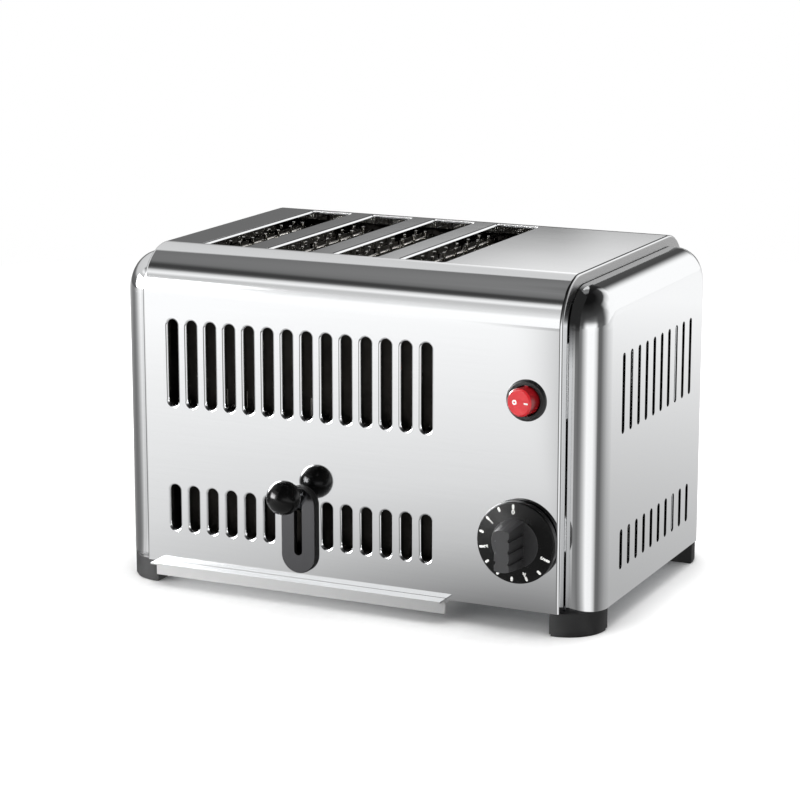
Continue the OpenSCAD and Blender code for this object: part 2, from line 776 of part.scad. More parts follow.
// Wall across the chamber, with shelves that hold the guide rods' tops
module inner_wall() {
    difference() {
        union() {
            translate([chamber_x0, wall_set, floor_z])
                cube([chamber_x1 - chamber_x0, wall_t, wall_top - floor_z]);
            for (x = rod_x) translate([x - bush_w / 2, wall_in - eps, shelf_z])
                cube([bush_w, bush_gap + bush_w + eps, shelf_t]);
        }
        translate([0, wall_set - eps, 0]) along_y(wall_t + 2 * eps) wall_holes();
        for (x = rod_x) translate([x, rod_y, shelf_z - eps])
            cylinder(d = rod_d + 2 * screw_clear, h = shelf_t + 2 * eps);
    }
}

module front_inner_wall() {
    color(plated) from_front() difference() {
        inner_wall();
        translate([lever_x, wall_set - eps, pivot_z])
            along_y(wall_t + 2 * eps) oblong(lever_slot_w + 2, 2 * lever_slot_half);
    }
}

module rear_inner_wall() color(plated) from_front() at_rear() inner_wall();

module side_wall(x) {
    translate([x, wall_in, floor_z]) cube([wall_t, wrap_d - 2 * wall_in, wall_top - floor_z]);
}

module left_reflector() color(plated) from_front() side_wall(chamber_x0);

module control_partition() color(plated) from_front() side_wall(chamber_x1 - wall_t);

module heater_board(i) {
    color(mica) from_front() translate([board_x(i) - board_t / 2, 0, 0]) along_x(board_t) {
        difference() {
            translate([mid_y - board_l / 2, board_z]) square([board_l, board_h]);
            for (k = [-1 : 1]) translate([mid_y + k * notch_pitch - notch_w / 2, board_z + board_h - notch_h])
                square([notch_w, notch_h + eps]);
        }
        for (z = [tab_low_z, tab_high_z])
            translate([wall_set, z]) square([wrap_d - 2 * wall_set, tab_h]);
    }
}

module heater_board_1() heater_board(1);
module heater_board_2() heater_board(2);
module heater_board_3() heater_board(3);
module heater_board_4() heater_board(4);
module heater_board_5() heater_board(5);

// The ribbon runs along one face, round the board's end and back along the other face, and climbs as it goes.
// It passes the lower tabs in one longer climb.
ribbon_half = board_t / 2 + ribbon_clear;
ribbon_reach = board_l / 2 + ribbon_clear;
ribbon_passes = ribbon_low_passes + ribbon_high_passes;
ribbon_steps = 2 * ribbon_passes - 2;
ribbon_z0 = tab_low_z - ribbon_margin - ribbon_w / 2 - (ribbon_low_passes - 1) * ribbon_pitch / 2;
ribbon_z1 = tab_low_z + tab_h + ribbon_margin + ribbon_w / 2;
function ribbon_level(pass) = pass < ribbon_low_passes
    ? ribbon_z0 + pass * ribbon_pitch / 2
    : ribbon_z1 + (pass - ribbon_low_passes) * ribbon_pitch / 2;
function ribbon_ring(k) =
    let (face = k % 4 < 2 ? 1 : -1)
    let (end = k % 4 == 1 || k % 4 == 2 ? 1 : -1)
    let (z = ribbon_level(floor((k + 1) / 2)))
    [for (c = [[0, 1], [1, 1], [1, -1], [0, -1]])
        [face * (ribbon_half + c[0] * ribbon_t), end * (ribbon_reach + c[0] * ribbon_t),
            z + c[1] * ribbon_w / 2]];

// Closes a chain of four-cornered rings into one solid
module ribbon_tube() {
    points = [for (k = [0 : ribbon_steps], p = ribbon_ring(k)) p];
    sides = [for (k = [0 : ribbon_steps - 1], j = [0 : 3])
        let (a = 4 * k + j, b = 4 * k + (j + 1) % 4)
        each [[a, b, b + 4], [a, b + 4, a + 4]]];
    last = 4 * ribbon_steps;
    ends = [[2, 1, 0], [3, 2, 0], [last, last + 1, last + 2], [last, last + 2, last + 3]];
    polyhedron(points, concat(sides, ends));
}

ribbon_gap = ribbon_pitch - ribbon_w;
echo(least_gap_between_ribbon_turns = ribbon_gap);

module heater_ribbon(i) {
    color(heater_alloy) from_front() translate([board_x(i), mid_y, 0]) ribbon_tube();
}

module heater_ribbon_1() heater_ribbon(1);
module heater_ribbon_2() heater_ribbon(2);
module heater_ribbon_3() heater_ribbon(3);
module heater_ribbon_4() heater_ribbon(4);
module heater_ribbon_5() heater_ribbon(5);

// One welded grid: upright wires on the bread's side of two long wires that end in the inner walls,
// and of a short wire near their top tips
module guard_grid() {
    for (z = [guard_rail_low_z, guard_rail_high_z])
        translate([long_wire_x, wall_set, z])
            rotate([-90, 0, 0]) cylinder(d = wire_d, h = wrap_d - 2 * wall_set);
    half = (guard_wires - 1) / 2 * guard_pitch;
    translate([long_wire_x, mid_y - half - wire_d, guard_high_z - guard_tip])
        rotate([-90, 0, 0]) cylinder(d = wire_d, h = 2 * (half + wire_d));
    for (k = [0 : guard_wires - 1])
        translate([upright_x, mid_y - half + k * guard_pitch, guard_low_z])
            cylinder(d = wire_d, h = guard_high_z - guard_low_z);
}

module bread_guard(i) {
    color(plated) from_front() translate([slot_x(i), 0, 0]) for (s = [0, 1]) mirror([s, 0, 0]) guard_grid();
}

module bread_guard_1() bread_guard(1);
module bread_guard_2() bread_guard(2);
module bread_guard_3() bread_guard(3);
module bread_guard_4() bread_guard(4);

// Bread lift

crossbar_z = rail_z - rail_t - crossbar_h;
lift_tab_low = lift_z - lift_d - lift_play;
lift_slot_l = lift_arm * (1 - cos(lever_rest)) + lift_d + 2 * lift_play;

// Rail under a slice: a strip on an upright web
module rail_section() {
    translate([-rail_w / 2, rail_z - rail_t]) square([rail_w, rail_t]);
    translate([-rail_t / 2, rail_z - rail_h]) square([rail_t, rail_h]);
}

module bread_rail(i) {
    y0 = crossbar_y + rail_t;
    color(plated) from_front() translate([slot_x(i), y0, 0]) along_y(wrap_d - 2 * y0) rail_section();
}

// Middle rails carry a tab that hangs down to the lift pin
module lifted_rail(i) {
    slot_y = lift_y - lift_d / 2 - lift_play;
    slot_mid = slot_y + lift_slot_l / 2;
    slot_tall = lift_d + 2 * lift_play;
    bread_rail(i);
    color(plated) from_front() translate([slot_x(i) - rail_t / 2, 0, 0]) difference() {
        translate([0, slot_mid - lift_tab_l / 2, lift_tab_low])
            cube([rail_t, lift_tab_l, rail_z - rail_t - lift_tab_low]);
        translate([-eps, slot_mid, lift_z])
            along_x(rail_t + 2 * eps) rotate(90) oblong(slot_tall, lift_slot_l);
    }
}

module bread_rail_1() bread_rail(1);
module bread_rail_2() lifted_rail(2);
module bread_rail_3() lifted_rail(3);
module bread_rail_4() bread_rail(4);

module crossbar() {
    x0 = slot_x(1) - crossbar_over;
    translate([x0, crossbar_y, crossbar_z]) cube([slot_x(4) - x0 + crossbar_over, rail_t, crossbar_h]);
}

module front_crossbar() color(plated) from_front() crossbar();

module rear_crossbar() color(plated) from_front() at_rear() crossbar();

module bush(x) {
    translate([x, rod_y, crossbar_z + (crossbar_h - bush_h) / 2]) difference() {
        translate([-bush_w / 2, -bush_w / 2, 0]) cube([bush_w, bush_w, bush_h]);
        translate([0, 0, -eps]) cylinder(d = rod_d + 2 * rod_clear, h = bush_h + 2 * eps);
    }
}

module guide_bushes() {
    color(ceramic) from_front() {
        for (x = rod_x) bush(x);
        at_rear() for (x = rod_x) bush(x);
    }
}

module guide_rod(x) translate([x, rod_y, floor_z]) cylinder(d = rod_d, h = rod_top - floor_z);

module guide_rods() {
    color(plated) from_front() {
        for (x = rod_x) guide_rod(x);
        at_rear() for (x = rod_x) guide_rod(x);
    }
}

// Eject lever: pushing the ball down turns it about the pivot and lifts the bread rails

// Puts a shape that is drawn along the level lever, ball end toward -Y, at the pivot and at its rest angle
module at_lever() {
    from_front() translate([lever_x, pivot_back, pivot_z]) rotate([-lever_rest, 0, 0]) children();
}

// Cylinder along X, centred
module cross_cylinder(d, l) rotate([0, 90, 0]) cylinder(d = d, h = l, center = true);

lift_pin_l = slot_pitch + 2 * lift_pin_end;
lift_eye_d = lift_d + 2 * lift_eye_t;
arm_w = 6;
rod_end = 2;

module lever_arm() {
    color(plated) at_lever() difference() {
        union() {
            cross_cylinder(hub_d, hub_l);
            rotate([90, 0, 0]) cylinder(d = lever_d, h = lever_len - rod_end);
            translate([-arm_w / 2, 0, -lift_eye_d / 2 + 1]) cube([arm_w, lift_arm, lift_eye_d - 2]);
            translate([0, lift_arm, 0]) cross_cylinder(lift_eye_d, arm_w);
        }
        cross_cylinder(pivot_d + 2 * pivot_clear, hub_l + 2 * eps);
        translate([0, lift_arm, 0]) cross_cylinder(lift_d + 2 * screw_clear, arm_w + 2 * eps);
    }
}

module lever_ball() {
    color(black) at_lever() translate([0, -lever_len, 0]) difference() {
        sphere(d = ball_d);
        rotate([-90, 0, 0]) translate([0, 0, rod_end - screw_clear])
            cylinder(d = lever_d + 2 * screw_clear, h = ball_d);
    }
}

module lift_pin() color(plated) at_lever() translate([0, lift_arm, 0]) cross_cylinder(lift_d, lift_pin_l);

pin_head = 1.5;

module lever_pivot_pin() {
    reach = cheek_x + bracket_t;
    color(plated) from_front() translate([lever_x, pivot_back, pivot_z]) {
        cross_cylinder(pivot_d, 2 * reach);
        for (s = [-1, 1]) translate([s * (reach + pin_head / 2), 0, 0]) cross_cylinder(pivot_d + 3, pin_head);
    }
}

module lever_bracket() {
    outer = cheek_x + bracket_t;
    color(plated) from_front() translate([lever_x, pivot_back, 0]) difference() {
        union() {
            translate([-outer, -cheek_w / 2, floor_z]) cube([2 * outer, cheek_w, bracket_t]);
            for (s = [-1, 1]) translate([s * (cheek_x + bracket_t / 2), 0, 0]) {
                translate([-bracket_t / 2, -cheek_w / 2, floor_z])
                    cube([bracket_t, cheek_w, pivot_z - floor_z]);
                translate([0, 0, pivot_z]) cross_cylinder(cheek_w, bracket_t);
            }
        }
        translate([0, 0, pivot_z]) cross_cylinder(pivot_d + 2 * screw_clear, 2 * outer + 2 * eps);
    }
}

// Plate with a rounded front edge: a half profile carried round an oblong
module lever_plate() {
    r = plate_w / 2;
    run = plate_h - plate_w;
    color(plate_grey) from_front() translate([lever_x, 0, plate_z]) difference() {
        union() {
            for (s = [-1, 1]) translate([0, 0, s * run / 2]) turned() plate_profile(r);
            translate([0, 0, -run / 2]) linear_extrude(height = run) mirror([0, 1]) {
                plate_profile(r);
                mirror([1, 0]) plate_profile(r);
            }
        }
        translate([0, -plate_t - eps, pivot_z - plate_z])
            along_y(plate_t + 2 * eps) oblong(lever_slot_w, 2 * lever_slot_half);
    }
}

module plate_profile(r) {
    square([r, plate_t - plate_edge]);
    square([r - plate_edge, plate_t]);
    intersection() {
        translate([r - plate_edge, plate_t - plate_edge]) circle(plate_edge);
        square([r, plate_t]);
    }
}

// Rocker switch

rocker_well = 10;
pad_t = 4;
blade_w = 6;
blade_l = 8;
blade_t = 0.8;
blade_pitch = 10;

module switch_body() {
    well_d = rocker_d + 2 * rocker_gap;
    color(black) from_front() translate([switch_x, 0, switch_z]) difference() {
        union() {
            turned() bezel_profile();
            along_y(sheet + barrel_l) circle(d = barrel_d);
            for (s = [-1, 1]) translate([(s * blade_pitch - blade_t) / 2, sheet + barrel_l, -blade_w / 2])
                cube([blade_t, blade_l, blade_w]);
        }
        translate([0, -bezel_t - eps, 0]) along_y(bezel_t + rocker_well) circle(d = well_d);
        cylinder(d = trunnion_d + 2 * trunnion_clear, h = well_d + barrel_t, center = true);
    }
}

// Bezel with a bevelled front edge
module bezel_profile() {
    r = bezel_d / 2;
    bevel = bezel_t / 2;
    polygon([[0, 0], [r, 0], [r, bezel_t - bevel], [r - bevel, bezel_t], [0, bezel_t]]);
}

// Round button that rocks about an upright axis; its side marked with a ring is pressed in at rest
module switch_rocker() {
    edge = 1;
    r = rocker_d / 2;
    color(red) from_front() translate([switch_x, 0, switch_z]) rotate([0, 0, -rocker_tilt]) {
        translate([0, pad_t / 2, 0]) turned()
            polygon([[0, 0], [r, 0], [r, pad_t / 2 + rocker_out - edge], [r - edge, pad_t / 2 + rocker_out],
                [0, pad_t / 2 + rocker_out]]);
        cylinder(d = trunnion_d, h = rocker_d + 2 * rocker_gap + barrel_t * 0.8, center = true);
    }
}

// Timer

module timer_body() {
    color(plated) from_front() translate([timer_x, sheet, timer_z]) difference() {
        union() {
            along_y(timer_plate_t) rounded(timer_plate_w, timer_plate_w, 4);
            along_y(timer_l) circle(d = timer_d);
            translate([0, -sheet - dial_gap / 2, 0]) along_y(sheet + dial_gap) circle(d = nose_d);
        }
        translate([0, -sheet - dial_gap, 0]) along_y(sheet + dial_gap + timer_l / 2)
            circle(d = shaft_d + 2 * shaft_clear);
        for (s = [-1, 1]) translate([s * timer_screw_r, -eps, 0])
            along_y(timer_l / 2) circle(d = screw_d + 2 * screw_clear);
    }
}

timer_screw_head = 0.8;

module timer_screws() {
    color(plated) from_front() for (s = [-1, 1]) translate([timer_x + s * timer_screw_r, 0, timer_z]) {
        along_y(sheet + timer_l / 3) circle(d = screw_d);
        translate([0, -timer_screw_head, 0]) along_y(timer_screw_head) circle(d = screw_head_d);
    }
}

shaft_in = 5;

module timer_shaft() {
    tip = grip_out - shaft_in;
    color(plated) from_front() translate([timer_x, -tip, timer_z])
        along_y(tip + sheet + timer_l / 2 - 1) circle(d = shaft_d);
}

// Skirt and boss of the dial, as radius and distance in front of the wrap
module dial_profile() {
    r = dial_d / 2;
    translate([0, dial_gap]) square([r, skirt_out - dial_gap - skirt_edge]);
    translate([0, dial_gap]) square([r - skirt_edge, skirt_out - dial_gap]);
    intersection() {
        translate([r - skirt_edge, skirt_out - skirt_edge]) circle(skirt_edge);
        square([r, skirt_out]);
    }
    polygon([[0, skirt_out], [boss_d / 2, skirt_out], [boss_d / 2 - boss_h, skirt_out + boss_h],
        [0, skirt_out + boss_h]]);
}

// Wedge that a finger and thumb turn, longer and wider at its root, with arched ends
module grip_end(w, l) {
    intersection() {
        square([w, l], center = true);
        circle(d = l, $fn = 32);
    }
}

module grip() {
    hull() {
        translate([0, -skirt_out - boss_h, 0]) along_y(boss_h) grip_end(grip_root_w, grip_root_l);
        translate([0, -grip_out, 0]) along_y(boss_h) grip_end(grip_w, grip_l);
    }
}

// Level grooves along both sides of the grip
module grip_grooves() {
    lean = atan((grip_root_w - grip_w) / 2 / (grip_out - skirt_out - boss_h));
    for (s = [0, 1], k = [-1 : 1])
        mirror([s, 0, 0]) translate([grip_w / 2, -grip_out, k * groove_pitch]) rotate([0, 0, -lean])
            translate([-groove_depth, -boss_h, -groove_w / 2])
                cube([groove_depth + grip_w, grip_out - skirt_out, groove_w]);
}

module timer_dial() {
    color(black) from_front() translate([timer_x, 0, timer_z]) difference() {
        union() {
            turned() dial_profile();
            difference() {
                grip();
                grip_grooves();
            }
        }
        translate([0, shaft_in - screw_clear - grip_out, 0]) along_y(grip_out)
            circle(d = shaft_d + 2 * screw_clear);
        translate([0, -dial_gap - timer_screw_head, 0]) along_y(grip_out)
            circle(r = timer_screw_r + screw_head_d / 2 + 1);
    }
}

// Crumb tray

module crumb_tray() {
    x0 = tray_x - pan_w / 2;
    face_y = -tray_gap - tray_t;
    color(polished) from_front() {
        translate([tray_x0, face_y, tray_z]) cube([tray_w, tray_t, pull_z - tray_z]);
        translate([tray_x0, -pull_reach, pull_z - tray_t]) cube([tray_w, pull_reach - tray_gap, tray_t]);
        translate([x0, face_y, tray_z]) cube([pan_w, pan_l - face_y, tray_t]);
        translate([x0, pan_l - tray_t, tray_z]) cube([pan_w, tray_t, pan_h]);
        for (s = [0, 1]) translate([tray_x, 0, 0]) mirror([s, 0, 0]) {
            translate([pan_w / 2 - tray_t, face_y, tray_z]) cube([tray_t, pan_l - face_y, pan_h]);
            translate([pan_w / 2 - tray_t, tray_gap, pan_top - tray_t])
                cube([tray_t + pan_lip, pan_l - tray_gap, tray_t]);
        }
    }
}

// Z-shaped runner: a flange under the base plate, a web beside the pan's lip and a ledge under it
module runner_section() {
    ledge_z = pan_top - tray_t - runner_gap - runner_t;
    web_x = pan_w / 2 + pan_lip + runner_side;
    translate([pan_w / 2 + runner_side, ledge_z]) square([pan_lip + runner_t, runner_t]);
    translate([web_x, ledge_z]) square([runner_t, body_z - ledge_z]);
    translate([web_x, body_z - runner_t]) square([runner_flange, runner_t]);
}

module tray_runners() {
    y0 = foot_back + foot_l + runner_foot_gap;
    color(plated) from_front() translate([tray_x, y0, 0])
        for (s = [0, 1]) mirror([s, 0, 0]) along_y(wrap_d - 2 * y0) runner_section();
}

// Supply

gland_taper = 0.55;
gland_chamfer = 1;

module cable_gland() {
    tip = gland_d * gland_taper;
    r = gland_d / 2 + gland_collar;
    inside = sheet + 2 * gland_nut_t;
    color(black) from_front() at_rear() translate([gland_x, 0, gland_z]) difference() {
        union() {
            turned() polygon([[0, 0], [r, 0], [r, gland_nut_t], [tip, gland_reach - gland_chamfer],
                [tip - gland_chamfer, gland_reach], [0, gland_reach]]);
            along_y(inside) circle(d = gland_d);
            translate([0, sheet, 0]) along_y(gland_nut_t) circle(r = r, $fn = 6);
        }
        translate([0, -gland_reach - eps, 0]) along_y(gland_reach + inside + 2 * eps) circle(d = gland_bore);
    }
}

terminal_poles = 3;

module terminal_block() {
    step = terminal_l / terminal_poles;
    x0 = chamber_x1 + terminal_side;
    y0 = wrap_d - terminal_back - terminal_w;
    color(ceramic) from_front() translate([x0, y0, floor_z]) difference() {
        cube([terminal_l, terminal_w, terminal_h]);
        for (k = [0 : terminal_poles - 1], y = [terminal_w / 4, terminal_w * 3 / 4])
            translate([step * (k + 0.5), y, terminal_h - terminal_hole_l])
                cylinder(d = terminal_hole_d, h = terminal_hole_l + eps);
    }
}

outer_wrap();
left_end_cap();
right_end_cap();
base_plate();
foot_front_left();
foot_front_right();
foot_rear_left();
foot_rear_right();
foot_screws();
cap_screws();
front_inner_wall();
rear_inner_wall();
left_reflector();
control_partition();
heater_board_1();
heater_board_2();
heater_board_3();
heater_board_4();
heater_board_5();
heater_ribbon_1();
heater_ribbon_2();
heater_ribbon_3();
heater_ribbon_4();
heater_ribbon_5();
bread_guard_1();
bread_guard_2();
bread_guard_3();
bread_guard_4();
bread_rail_1();
bread_rail_2();
bread_rail_3();
bread_rail_4();
front_crossbar();
rear_crossbar();
guide_bushes();
guide_rods();
lever_plate();
lever_bracket();
lever_pivot_pin();
lever_arm();
lever_ball();
lift_pin();
switch_body();
switch_rocker();
timer_body();
timer_screws();
timer_shaft();
timer_dial();
crumb_tray();
tray_runners();
cable_gland();
terminal_block();
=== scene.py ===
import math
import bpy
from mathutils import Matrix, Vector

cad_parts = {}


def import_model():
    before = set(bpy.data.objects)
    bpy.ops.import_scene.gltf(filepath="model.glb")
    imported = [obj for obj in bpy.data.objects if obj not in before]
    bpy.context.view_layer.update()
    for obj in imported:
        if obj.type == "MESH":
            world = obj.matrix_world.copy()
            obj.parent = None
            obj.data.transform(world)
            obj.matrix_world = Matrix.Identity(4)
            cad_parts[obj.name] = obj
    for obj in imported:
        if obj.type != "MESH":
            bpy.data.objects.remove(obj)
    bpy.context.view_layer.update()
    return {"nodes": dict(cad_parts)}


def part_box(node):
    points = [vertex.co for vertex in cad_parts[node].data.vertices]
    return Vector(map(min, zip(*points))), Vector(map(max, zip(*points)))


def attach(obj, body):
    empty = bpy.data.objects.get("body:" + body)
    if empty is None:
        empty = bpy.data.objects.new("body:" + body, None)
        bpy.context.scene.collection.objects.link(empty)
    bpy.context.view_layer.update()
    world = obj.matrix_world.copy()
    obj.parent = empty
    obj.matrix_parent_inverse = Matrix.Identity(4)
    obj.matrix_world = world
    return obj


bl_info = {
    "name": "Four-slot counter toaster",
    "version": (1, 0, 0),
    "blender": (4, 5, 0),
    "location": "3D View > Sidebar > Toaster",
    "description": "Gives the packed toaster its finishes, its printed marks and a studio stage",
    "category": "Object",
}

import bmesh
import bpy
from mathutils import Matrix, Vector

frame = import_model()
NODES = frame["nodes"]
MM = 0.001
BACKWARD = Vector((0, 1, 0))
# Rays start this far in front of what they are to meet.
CLEAR = 10 * MM
WHITE = (1, 1, 1, 1)
# Levels that most of a noise lies between, and levels that most of a cell pattern's greys lie between.
NOISE_LOW, NOISE_HIGH = 0.3, 0.7
CELL_LOW, CELL_HIGH = 0.1, 0.9
# A Mix node's inputs have the same names for numbers and for colours, so they are taken by place.
NUMBER_A, NUMBER_B = 2, 3
COLOUR_A, COLOUR_B = 6, 7


def linear(text):
    """Turns an sRGB hex colour into linear red, green and blue."""
    parts = [int(text[i:i + 2], 16) / 255 for i in (1, 3, 5)]
    return tuple(c / 12.92 if c <= 0.04045 else ((c + 0.055) / 1.055) ** 2.4 for c in parts)


def grey(level):
    """Turns an sRGB grey from 0 to 255 into the linear colour of a ramp stop."""
    return linear("#" + "%02x" % round(level) * 3) + (1.0,)


def rgba(colour):
    """Gives a linear colour the opacity that a socket asks for."""
    return tuple(colour) + (1.0,)


def shade(colour, factor):
    """Makes a lighter or darker copy of a linear colour."""
    return tuple(min(1.0, c * factor) for c in colour) + (1.0,)


def per_mm(size):
    """Gives the texture scale at which one feature of a pattern is this many millimetres wide."""
    return 1 / (size * MM)


def feed(tree, node, links):
    """Links sockets, or nodes by their first live output, to a node's inputs."""
    for key, source in links.items():
        if isinstance(source, bpy.types.Node):
            source = next(socket for socket in source.outputs if socket.enabled)
        tree.links.new(source, node.inputs[key])


def add(tree, kind, values=None, links=None, stops=None, **settings):
    """Adds a node with its settings, socket values, incoming links and ramp stops."""
    node = tree.nodes.new("ShaderNode" + kind)
    for key, value in settings.items():
        setattr(node, key, value)
    for key, value in (values or {}).items():
        node.inputs[key].default_value = value
    feed(tree, node, links or {})
    if stops:
        ramp = node.color_ramp
        while len(ramp.elements) < len(stops):
            ramp.elements.new(0.5)
        for element, (place, colour) in zip(ramp.elements, stops):
            element.position = place
            element.color = colour
    return node


def new_finish(name, **values):
    """Makes a material and returns it with its node tree, its shader and its object coordinates."""
    finish = bpy.data.materials.new(name)
    finish.use_nodes = True
    tree = finish.node_tree
    shader = tree.nodes["Principled BSDF"]
    for key, value in values.items():
        shader.inputs[key.replace("_", " ")].default_value = value
    place = add(tree, "TexCoord").outputs["Object"]
    return finish, tree, shader, place


def facing(tree):
    """Gives how far the surface faces along X, Y and Z of the part, from -1 to 1."""
    way = add(tree, "TexCoord").outputs["Normal"]
    return add(tree, "SeparateXYZ", None, {"Vector": way}).outputs


def mask(tree, *bounds):
    """Goes smoothly from 0, where a value hasn't reached its start, to 1, where each has reached its end."""
    whole = None
    for value, start, end in bounds:
        edge = add(tree, "MapRange", {"From Min": start, "From Max": end}, {"Value": value},
                   interpolation_type="SMOOTHSTEP")
        whole = add(tree, "Math", None, {0: whole, 1: edge}, operation="MULTIPLY") if whole else edge
    return whole


def skin(tree, shader, colour, rough, relief, depth, strength, normal=None):
    """Gives a shader its colour, its roughness and a relief, which is so many millimetres deep."""
    links = {"Height": relief, "Normal": normal} if normal else {"Height": relief}
    raised = add(tree, "Bump", {"Strength": strength, "Distance": depth * MM}, links)
    feed(tree, shader, {"Base Color": colour, "Roughness": rough, "Normal": raised})


def dress(finish, *names):
    """Gives CAD nodes a finish."""
    for name in names:
        slots = NODES[name].data.materials
        slots.clear()
        slots.append(finish)


def like(stem):
    """Lists the CAD nodes whose names start with a stem."""
    found = sorted(n for n in NODES if n.startswith(stem))
    if not found:
        raise RuntimeError("no CAD node starts with " + stem)
    return found


def as_object(name, solid):
    """Puts a mesh under construction into the scene as an object."""
    mesh = bpy.data.meshes.new(name)
    solid.to_mesh(mesh)
    solid.free()
    piece = bpy.data.objects.new(name, mesh)
    bpy.context.collection.objects.link(piece)
    return piece


# Metals

MILL_ROUGH = 0.36
# Roughness of the painted highlight along the slots' ends.
HIGHLIGHT_ROUGH = 0.6


def polished_stainless(name, look, polish, spread=0.3, dull=None, dulled=None, painted_highlight=None):
    # Stainless sheet, mirror polished: a clear reflection, broken only by a faint haze of buffing streaks
    # along the sheet and by the slow waves that bending leaves in it. Under the mask called dull, where one
    # is given, the sheet has another grey and the blurred look that it had before the buffing wheel. Under
    # the last mask, where one is given, the steel is painted pale, matt and not metallic: a painted
    # highlight.
    finish, tree, shader, place = new_finish(name, Metallic=1.0)
    along = add(tree, "Mapping", {"Scale": (0.02, 1.0, 1.0)}, {"Vector": place})
    # Real buffing lines are finer than a pixel, so they are drawn 1.2 mm apart.
    streaks = add(tree, "TexNoise", {"Scale": per_mm(1.2), "Detail": 3.0}, {"Vector": along})
    colour = add(tree, "ValToRGB", None, {"Fac": streaks},
                 [(NOISE_LOW, shade(look.steel, 0.985)), (NOISE_HIGH, rgba(look.steel))])
    rough = add(tree, "MapRange", {"From Min": NOISE_LOW, "From Max": NOISE_HIGH,
                                   "To Min": polish * (1 - spread), "To Max": polish * (1 + spread)},
                {"Value": streaks})
    if dull:
        part = dull(tree, place)
        colour = add(tree, "Mix", {COLOUR_B: rgba(dulled)}, {"Factor": part, COLOUR_A: colour},
                     data_type="RGBA")
        rough = add(tree, "Mix", {NUMBER_B: MILL_ROUGH}, {"Factor": part, NUMBER_A: rough})
    # Painted highlight: under this mask the steel turns pale, matt and not metallic.
    if painted_highlight:
        part = painted_highlight(tree, place)
        colour = add(tree, "Mix", {COLOUR_B: rgba(look.painted_highlight)}, {"Factor": part, COLOUR_A: colour},
                     data_type="RGBA")
        rough = add(tree, "Mix", {NUMBER_B: HIGHLIGHT_ROUGH}, {"Factor": part, NUMBER_A: rough})
        metal = add(tree, "Math", {0: 1.0}, {1: part}, operation="SUBTRACT")
        feed(tree, shader, {"Metallic": metal})
    waves = add(tree, "TexNoise", {"Scale": per_mm(70), "Detail": 1.0}, {"Vector": place})
    skin(tree, shader, colour, rough, waves, depth=0.4, strength=0.04)
    return finish


def wrap_ends(tree, place):
    """Picks out the turned-in ends along the wrap's top, which face sideways."""
    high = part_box("outer_wrap")[1]
    spot = add(tree, "SeparateXYZ", None, {"Vector": place}).outputs
    out = add(tree, "Math", None, {0: spot["X"]}, operation="ABSOLUTE")
    side = add(tree, "Math", None, {0: facing(tree)["X"]}, operation="ABSOLUTE")
    return mask(tree, (out, high[0] - 3 * MM, high[0] - 2 * MM), (side, 0.75, 0.95),
                (spot["Z"], high[2] - 25 * MM, high[2] - 8 * MM))


def slot_ends(tree, place):
    """Picks out the sheet's cut edge across the ends of the bread slots, where a highlight is painted."""
    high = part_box("outer_wrap")[1]
    spot = add(tree, "SeparateXYZ", None, {"Vector": place}).outputs
    side = add(tree, "Math", None, {0: facing(tree)["Y"]}, operation="ABSOLUTE")
    return mask(tree, (side, 0.4, 0.5), (spot["Z"], high[2] - 0.95 * MM, high[2] - 0.8 * MM))


def pull_front(tree, place):
    """Picks out the front of the tray's finger pull."""
    return mask(tree, (facing(tree)["Y"], -0.6, -0.9))


def plated_steel(name, colour, rough, spangle):
    # Steel plated with zinc or nickel: crystals of slightly different grey, each with its own sheen.
    finish, tree, shader, place = new_finish(name, Metallic=1.0)
    cells = add(tree, "TexVoronoi", {"Scale": per_mm(spangle)}, {"Vector": place}).outputs["Color"]
    tint = add(tree, "ValToRGB", None, {"Fac": cells},
               [(CELL_LOW, shade(colour, 0.82)), (CELL_HIGH, shade(colour, 1.08))])
    sheen = add(tree, "MapRange", {"To Min": rough * 0.8, "To Max": rough * 1.25}, {"Value": cells})
    grain = add(tree, "TexNoise", {"Scale": per_mm(0.8), "Detail": 2.0}, {"Vector": place})
    skin(tree, shader, tint, sheen, grain, depth=0.02, strength=0.3)
    return finish


def heated_metal(name, colour, rough):
    # Aluminised sheet and nichrome, browned by heat: dull and dark, with cloudy stains about 2 cm across.
    finish, tree, shader, place = new_finish(name, Metallic=1.0)
    stains = add(tree, "TexNoise", {"Scale": per_mm(22), "Detail": 5.0}, {"Vector": place})
    tint = add(tree, "ValToRGB", None, {"Fac": stains},
               [(NOISE_LOW, shade(colour, 0.6)), (NOISE_HIGH, shade(colour, 1.3))])
    dull = add(tree, "MapRange", {"To Min": rough * 0.8, "To Max": rough * 1.2}, {"Value": stains})
    scale = add(tree, "TexNoise", {"Scale": per_mm(1.5), "Detail": 3.0}, {"Vector": place})
    skin(tree, shader, tint, dull, scale, depth=0.03, strength=0.4)
    return finish


# Mouldings and minerals

# Radius of a moulding's edges, in millimetres, and the rays that look for them.
EDGE = 0.5
EDGE_RAYS = 6
# Roughness of the dial's grip and skirt, and of the lever plate's moulding and foil.
GRIP_ROUGH, SKIRT_ROUGH = 0.5, 0.25
PLATE_ROUGH, FOIL_ROUGH = 0.7, 0.16


